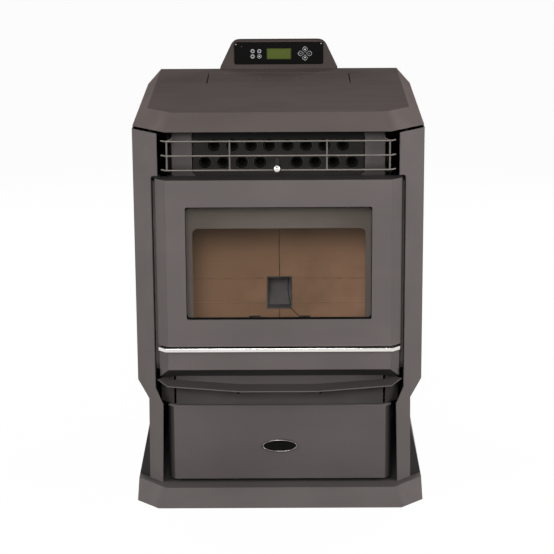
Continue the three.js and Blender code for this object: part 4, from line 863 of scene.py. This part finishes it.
# ---------------------------------------------------------------- console
KEY_FACE = 487.2
KEYPAD_FACE = 487.5
PRINT = 0.12  # thickness of the prints
RING = {"outer": 4.75, "inner": 2.3, "inner_of_sign": 3.5}
LEAF_OUTER = (-5.9, 6.8, 5.9)  # from, to and half width, measured from the key's middle
LEAF_INNER = (-5.0, 5.3, 4.9)
SPOT_RADIUS = 1.7
MIDDLE_SQUARES = ((3, 1), (2.3, 0.6))  # half width and corner, outside and inside
ROUND_KEYS = {
    "round_key_upper_left": (-59.4, 872.7),
    "round_key_upper_right": (-44.1, 872.7),
    "round_key_lower_left": (-59.4, 860.6),
    "round_key_lower_right": (-44.1, 860.6),
}
ARROWS = (60, 867)
ARROW_REACH = 9.6
ARROW_KEYS = {
    "arrow_key_right": (1, 0),
    "arrow_key_left": (-1, 0),
    "arrow_key_up": (0, 1),
    "arrow_key_down": (0, -1),
}


def leaf(dx, dz, inner, outer, wide):
    """Pointed oval round an arrow key: it runs from inner to outer of the key's middle."""
    x = ARROWS[0] + ARROW_REACH * dx
    z = ARROWS[1] + ARROW_REACH * dz
    points = []
    for side in (1, -1):
        for k in range(12):
            s = k / 12 if side > 0 else 1 - k / 12
            u = inner + (outer - inner) * s
            v = -side * wide * math.sin(math.pi * s) ** 0.8
            points.append((x + dx * u - dz * v, z + dz * u + dx * v))
    return in_metres(points)


def printed_band(name, outer, inner, face, material, body):
    """A printed line between two outlines."""
    def fill(mesh):
        band_of(mesh, outer, inner, y_of(face), PRINT * MM)

    piece(name, fill, material, body)


def printed_spot(name, outline, face, material, body):
    """A printed spot inside an outline."""
    def fill(mesh):
        plate_of(mesh, outline, y_of(face), PRINT * MM)

    piece(name, fill, material, body)


def make_key_prints():
    """Rings on the round keys, leaf outlines round the arrow keys, and the small signs in them."""
    signed = "round_key_lower_right"
    for key, (x, z) in ROUND_KEYS.items():
        outer = in_metres(circle(x, z, RING["outer"], 32))
        inner = in_metres(circle(x, z, RING["inner_of_sign" if key == signed else "inner"], 32))
        printed_band(key + "_ring", outer, inner, KEY_FACE, print_grey, key)
    x, z = ROUND_KEYS[signed]
    triangle = in_metres([(x - 1.9, z - 1.2), (x + 1.9, z - 1.2), (x, z + 2)])
    printed_spot(signed + "_sign", triangle, KEY_FACE, print_white, signed)
    for key, (dx, dz) in ARROW_KEYS.items():
        outline = leaf(dx, dz, *LEAF_OUTER), leaf(dx, dz, *LEAF_INNER)
        printed_band(key + "_outline", *outline, KEYPAD_FACE, print_grey, "root")
        x = ARROWS[0] + ARROW_REACH * dx
        z = ARROWS[1] + ARROW_REACH * dz
        if dz:
            spot = circle(x, z - 0.4 * dz, SPOT_RADIUS, 16)
            printed_spot(key + "_spot", in_metres(spot), KEY_FACE, print_white, key)
        else:
            sign = [(x + 1.6 * dx, z), (x - 0.9 * dx, z - 1.4), (x - 0.9 * dx, z + 1.4)]
            printed_spot(key + "_spot", in_metres(sign), KEY_FACE, print_grey, key)
    x, z = ARROWS
    squares = [rounded(half, z - half, z + half, corner, x) for half, corner in MIDDLE_SQUARES]
    printed_band("arrow_block_middle", *map(in_metres, squares), KEYPAD_FACE, print_dim, "root")


KEYPAD_LAMP_PLACE = (-84.4, 883.2)
KEYPAD_LAMP = ((-0.2, 1.25), (0.15, 1.2), (0.5, 0.85), (0.65, 0.35))
KEYPAD_SCREW_PLACES = ((-97.5, 888.1), (96.5, 889.3))
KEYPAD_SCREW = ((-0.2, 1.9), (0.3, 1.85), (0.75, 1.3), (0.9, 0.7), (0.45, 0.4))
AHEAD = Vector((0, -1, 0))


def make_keypad_screws():
    """Two dished screws in the keypad's upper corners, and the small lamp beside one of them."""
    def screws(mesh):
        for x, z in KEYPAD_SCREW_PLACES:
            turned(mesh, at(x, KEYPAD_FACE, z), AHEAD, KEYPAD_SCREW, 16)

    def lens(mesh):
        x, z = KEYPAD_LAMP_PLACE
        turned(mesh, at(x, KEYPAD_FACE, z), AHEAD, KEYPAD_LAMP, 16)

    piece("keypad_screws", screws, dull_steel, "root")
    piece("keypad_lamp", lens, lamp_amber, "root")


# ---------------------------------------------------------------- under the apron
RECESS = {"half": 222, "front": -46, "run": 28, "thick": 1.2, "low": 209, "high": 289}
LIP_TABS = {"x": 85, "front": -108.2, "deep": 3, "wide": 6, "low": 252.6, "high": 255.6}


def box_between(mesh, low, high):
    """A box between two opposite corners."""
    made = bmesh.ops.create_cube(mesh, size=1)
    for vert in made["verts"]:
        vert.co = Vector([low[i] + (vert.co[i] + 0.5) * (high[i] - low[i]) for i in range(3)])


def make_recess_sides():
    """Slanted returns at both ends of the wall behind the ash lip, in a darkened paint that is painted
    shade.
    """
    def fill(mesh):
        for side in (-1, 1):
            a, b = RECESS["half"] * side, (RECESS["half"] + RECESS["run"]) * side
            near, far = RECESS["front"], RECESS["front"] + RECESS["run"]
            ring = [(a, near), (b, far), (b, far + RECESS["thick"]), (a, near + RECESS["thick"])]
            rings = [[at(x, y, z) for x, y in ring] for z in (RECESS["low"], RECESS["high"])]
            bridged(mesh, rings)

    piece("recess_sides", fill, recess_shade_paint, "root", shade_smooth=False)


def make_lip_tabs():
    """Ends of the two brackets, just under the lip's front edge."""
    def fill(mesh):
        for side in (-1, 1):
            x = side * LIP_TABS["x"]
            half = LIP_TABS["wide"] / 2
            low = at(x - half, LIP_TABS["front"], LIP_TABS["low"])
            high = at(x + half, LIP_TABS["front"] + LIP_TABS["deep"], LIP_TABS["high"])
            box_between(mesh, low, high)

    piece("lip_tabs", fill, mouth_paint, "root", shade_smooth=False)


# ---------------------------------------------------------------- firebox and rear
TUBE = {"pitch": 38, "upper": 752.5, "lower": 717}
# Turned round each tube, as pairs of radius and y
TUBE_MOUTH = ((9.6, 11.6), (9.6, 10.75), (12.1, 10.75), (12.5, 11.1), (12.5, 12.6))
TUBE_RIM = ((12.5, 13.9), (12.6, 12.3), (13.3, 11.9), (14.2, 12.5), (14.6, 13.9))


def make_tube_rims():
    """A sooted mouth on each of the 16 heat tubes, and a bead of weld where it leaves the sheet."""
    places = [((i - 3.5) * TUBE["pitch"], TUBE["upper"]) for i in range(8)]
    places += [(side * i * TUBE["pitch"], TUBE["lower"]) for i in range(1, 5) for side in (-1, 1)]

    def rings_of(mesh, profile):
        for x, z in places:
            rings = []
            for radius, y in profile:
                rings.append([(a, y_of(y), b) for a, b in in_metres(circle(x, z, radius, 28))])
            bridged(mesh, rings, capped=False)

    piece("tube_mouths", lambda mesh: rings_of(mesh, TUBE_MOUTH), mouth_paint, "root")
    piece("tube_rims", lambda mesh: rings_of(mesh, TUBE_RIM), rim_paint, "root")


PROBE_RADIUS = 0.75
PROBE_ROUTE = (
    (21, 286, 398.6), (19.6, 272, 386), (18.8, 258, 373.7), (20.4, 246, 363), (23, 234, 352.5),
    (24.3, 220, 346.6), (24.7, 206, 346.3), (26.2, 199.2, 345), (31, 198.6, 340.5),
    (37, 194, 336.2), (42, 187, 333.2),
)


def make_probe():
    """Stiff probe wire that lies in the chute and bends over the bricks to the burn pot."""
    def fill(mesh):
        tube(mesh, smooth_path([at(*point) for point in PROBE_ROUTE]), PROBE_RADIUS * MM)

    piece("temperature_probe", fill, inner_paint, "root")


REAR_FACE = 497
REAR_SIDE_SCREWS = ((283, 72), (266, 158), (290, 300), (290, 420), (290, 545), (290, 670), (290, 775))
REAR_SCREW_PLACES = (
    *[(side * x, z) for side in (-1, 1) for x, z in REAR_SIDE_SCREWS],
    *[(x, 779) for x in (-190, 0, 190)],
    *[(x, 47) for x in (-190, 0, 190)],
)
REAR_SCREW = (
    (-0.1, 5.4), (0.5, 5.3), (0.9, 4.3), (0.9, 4.0), (3.0, 4.0), (3.4, 3.5), (3.4, 1.5), (3.1, 1.0),
)
BACKWARD = Vector((0, 1, 0))


def make_rear_screws():
    """Sheet-metal screws with hexagon heads and pressed washers round the rear panel."""
    def fill(mesh):
        for x, z in REAR_SCREW_PLACES:
            turned(mesh, at(x, REAR_FACE, z), BACKWARD, REAR_SCREW, 24, {3, 4, 5})

    piece("rear_screws", fill, zinc, "root")


# ---------------------------------------------------------------- scene
FLOOR_GLOW = 0.965  # share of plain white in what the camera sees of the floor
FLOOR_HALF = 60  # half the floor's width, in metres
FLOOR_LEVEL = -0.3 * MM
AMBIENT = 0.18  # strength of the light from all round
LAMP_TARGET = Vector((0, 0, 0.45))
LAMPS = {  # place and diameter in metres, power in watts
    "side_left": ((-1.7, -1.15, 1.2), 1.2, 19),
    "side_right": ((1.7, -1.15, 1.2), 1.2, 25),
    "front_fill": ((-0.2, -3.4, 1.75), 1.0, 49),
    "rear_left": ((-1.5, 2.1, 1.25), 1.2, 34),
    "rear_right": ((1.5, 2.1, 1.25), 1.2, 34),
}


def eye_rays(tree):
    """1 for what the camera sees, also in gloss and through glass, and 0 for light on the stove."""
    path = tree.nodes.new("ShaderNodeLightPath")
    seen = path.outputs["Is Camera Ray"]
    for kind in ("Is Glossy Ray", "Is Transmission Ray"):
        either = tree.nodes.new("ShaderNodeMath")
        either.operation = "MAXIMUM"
        tree.links.new(seen, either.inputs[0])
        tree.links.new(path.outputs[kind], either.inputs[1])
        seen = either.outputs[0]
    return seen


def make_floor():
    """A wide floor that looks white, keeps the stove's shadow and throws little light back."""
    f = Finish("floor", (0.9, 0.9, 0.9), 0.9)
    seen = eye_rays(f.tree)
    glow = f.add("ShaderNodeEmission")
    glow.inputs["Color"].default_value = (1, 1, 1, 1)
    glow.inputs["Strength"].default_value = 1
    mix = f.add("ShaderNodeMixShader")
    f.put(f.math("MULTIPLY", seen, FLOOR_GLOW), mix.inputs[0])
    f.tree.links.new(f.shader.outputs[0], mix.inputs[1])
    f.tree.links.new(glow.outputs[0], mix.inputs[2])
    out = next(n for n in f.tree.nodes if n.type == "OUTPUT_MATERIAL")
    f.tree.links.new(mix.outputs[0], out.inputs["Surface"])
    f.link(f.blend(seen, (0.16, 0.16, 0.16), (0.95, 0.95, 0.95)), "Base Color")
    mesh = bmesh.new()
    bmesh.ops.create_grid(mesh, x_segments=2, y_segments=2, size=FLOOR_HALF)
    data = bpy.data.meshes.new("floor")
    mesh.to_mesh(data)
    mesh.free()
    data.materials.append(f.material)
    floor = bpy.data.objects.new("floor", data)
    floor.location.z = FLOOR_LEVEL
    bpy.context.scene.collection.objects.link(floor)


def make_world():
    """Dim, faintly warm light from all round, and plain white behind the stove."""
    world = bpy.data.worlds.new("studio")
    bpy.context.scene.world = world
    world.use_nodes = True
    tree = world.node_tree
    ambient = tree.nodes["Background"]
    ambient.inputs["Color"].default_value = (1.0, 0.985, 0.97, 1)
    ambient.inputs["Strength"].default_value = AMBIENT
    white = tree.nodes.new("ShaderNodeBackground")
    white.inputs["Color"].default_value = (1, 1, 1, 1)
    white.inputs["Strength"].default_value = 1
    mix = tree.nodes.new("ShaderNodeMixShader")
    tree.links.new(eye_rays(tree), mix.inputs[0])
    tree.links.new(ambient.outputs[0], mix.inputs[1])
    tree.links.new(white.outputs[0], mix.inputs[2])
    tree.links.new(mix.outputs[0], tree.nodes["World Output"].inputs["Surface"])


def make_lamp(name, place, size, power):
    """A round area lamp that looks at the stove's middle."""
    data = bpy.data.lights.new(name, "AREA")
    data.shape = "DISK"
    data.size = size
    data.energy = power
    lamp = bpy.data.objects.new(name, data)
    lamp.location = place
    lamp.rotation_euler = (LAMP_TARGET - Vector(place)).to_track_quat("-Z", "Y").to_euler()
    bpy.context.scene.collection.objects.link(lamp)


def make_studio():
    """World, floor and lamps, shown without a film look."""
    bpy.context.scene.view_settings.view_transform = "Standard"
    make_world()
    make_floor()
    for name, (place, size, power) in LAMPS.items():
        make_lamp(name, place, size, power)


make_camera()
finish_nodes()
make_window_seal()
make_badge_rim()
make_knob_screw()
make_welds()
make_key_prints()
make_keypad_screws()
make_recess_sides()
make_lip_tabs()
make_tube_rims()
make_probe()
make_rear_screws()
make_studio()
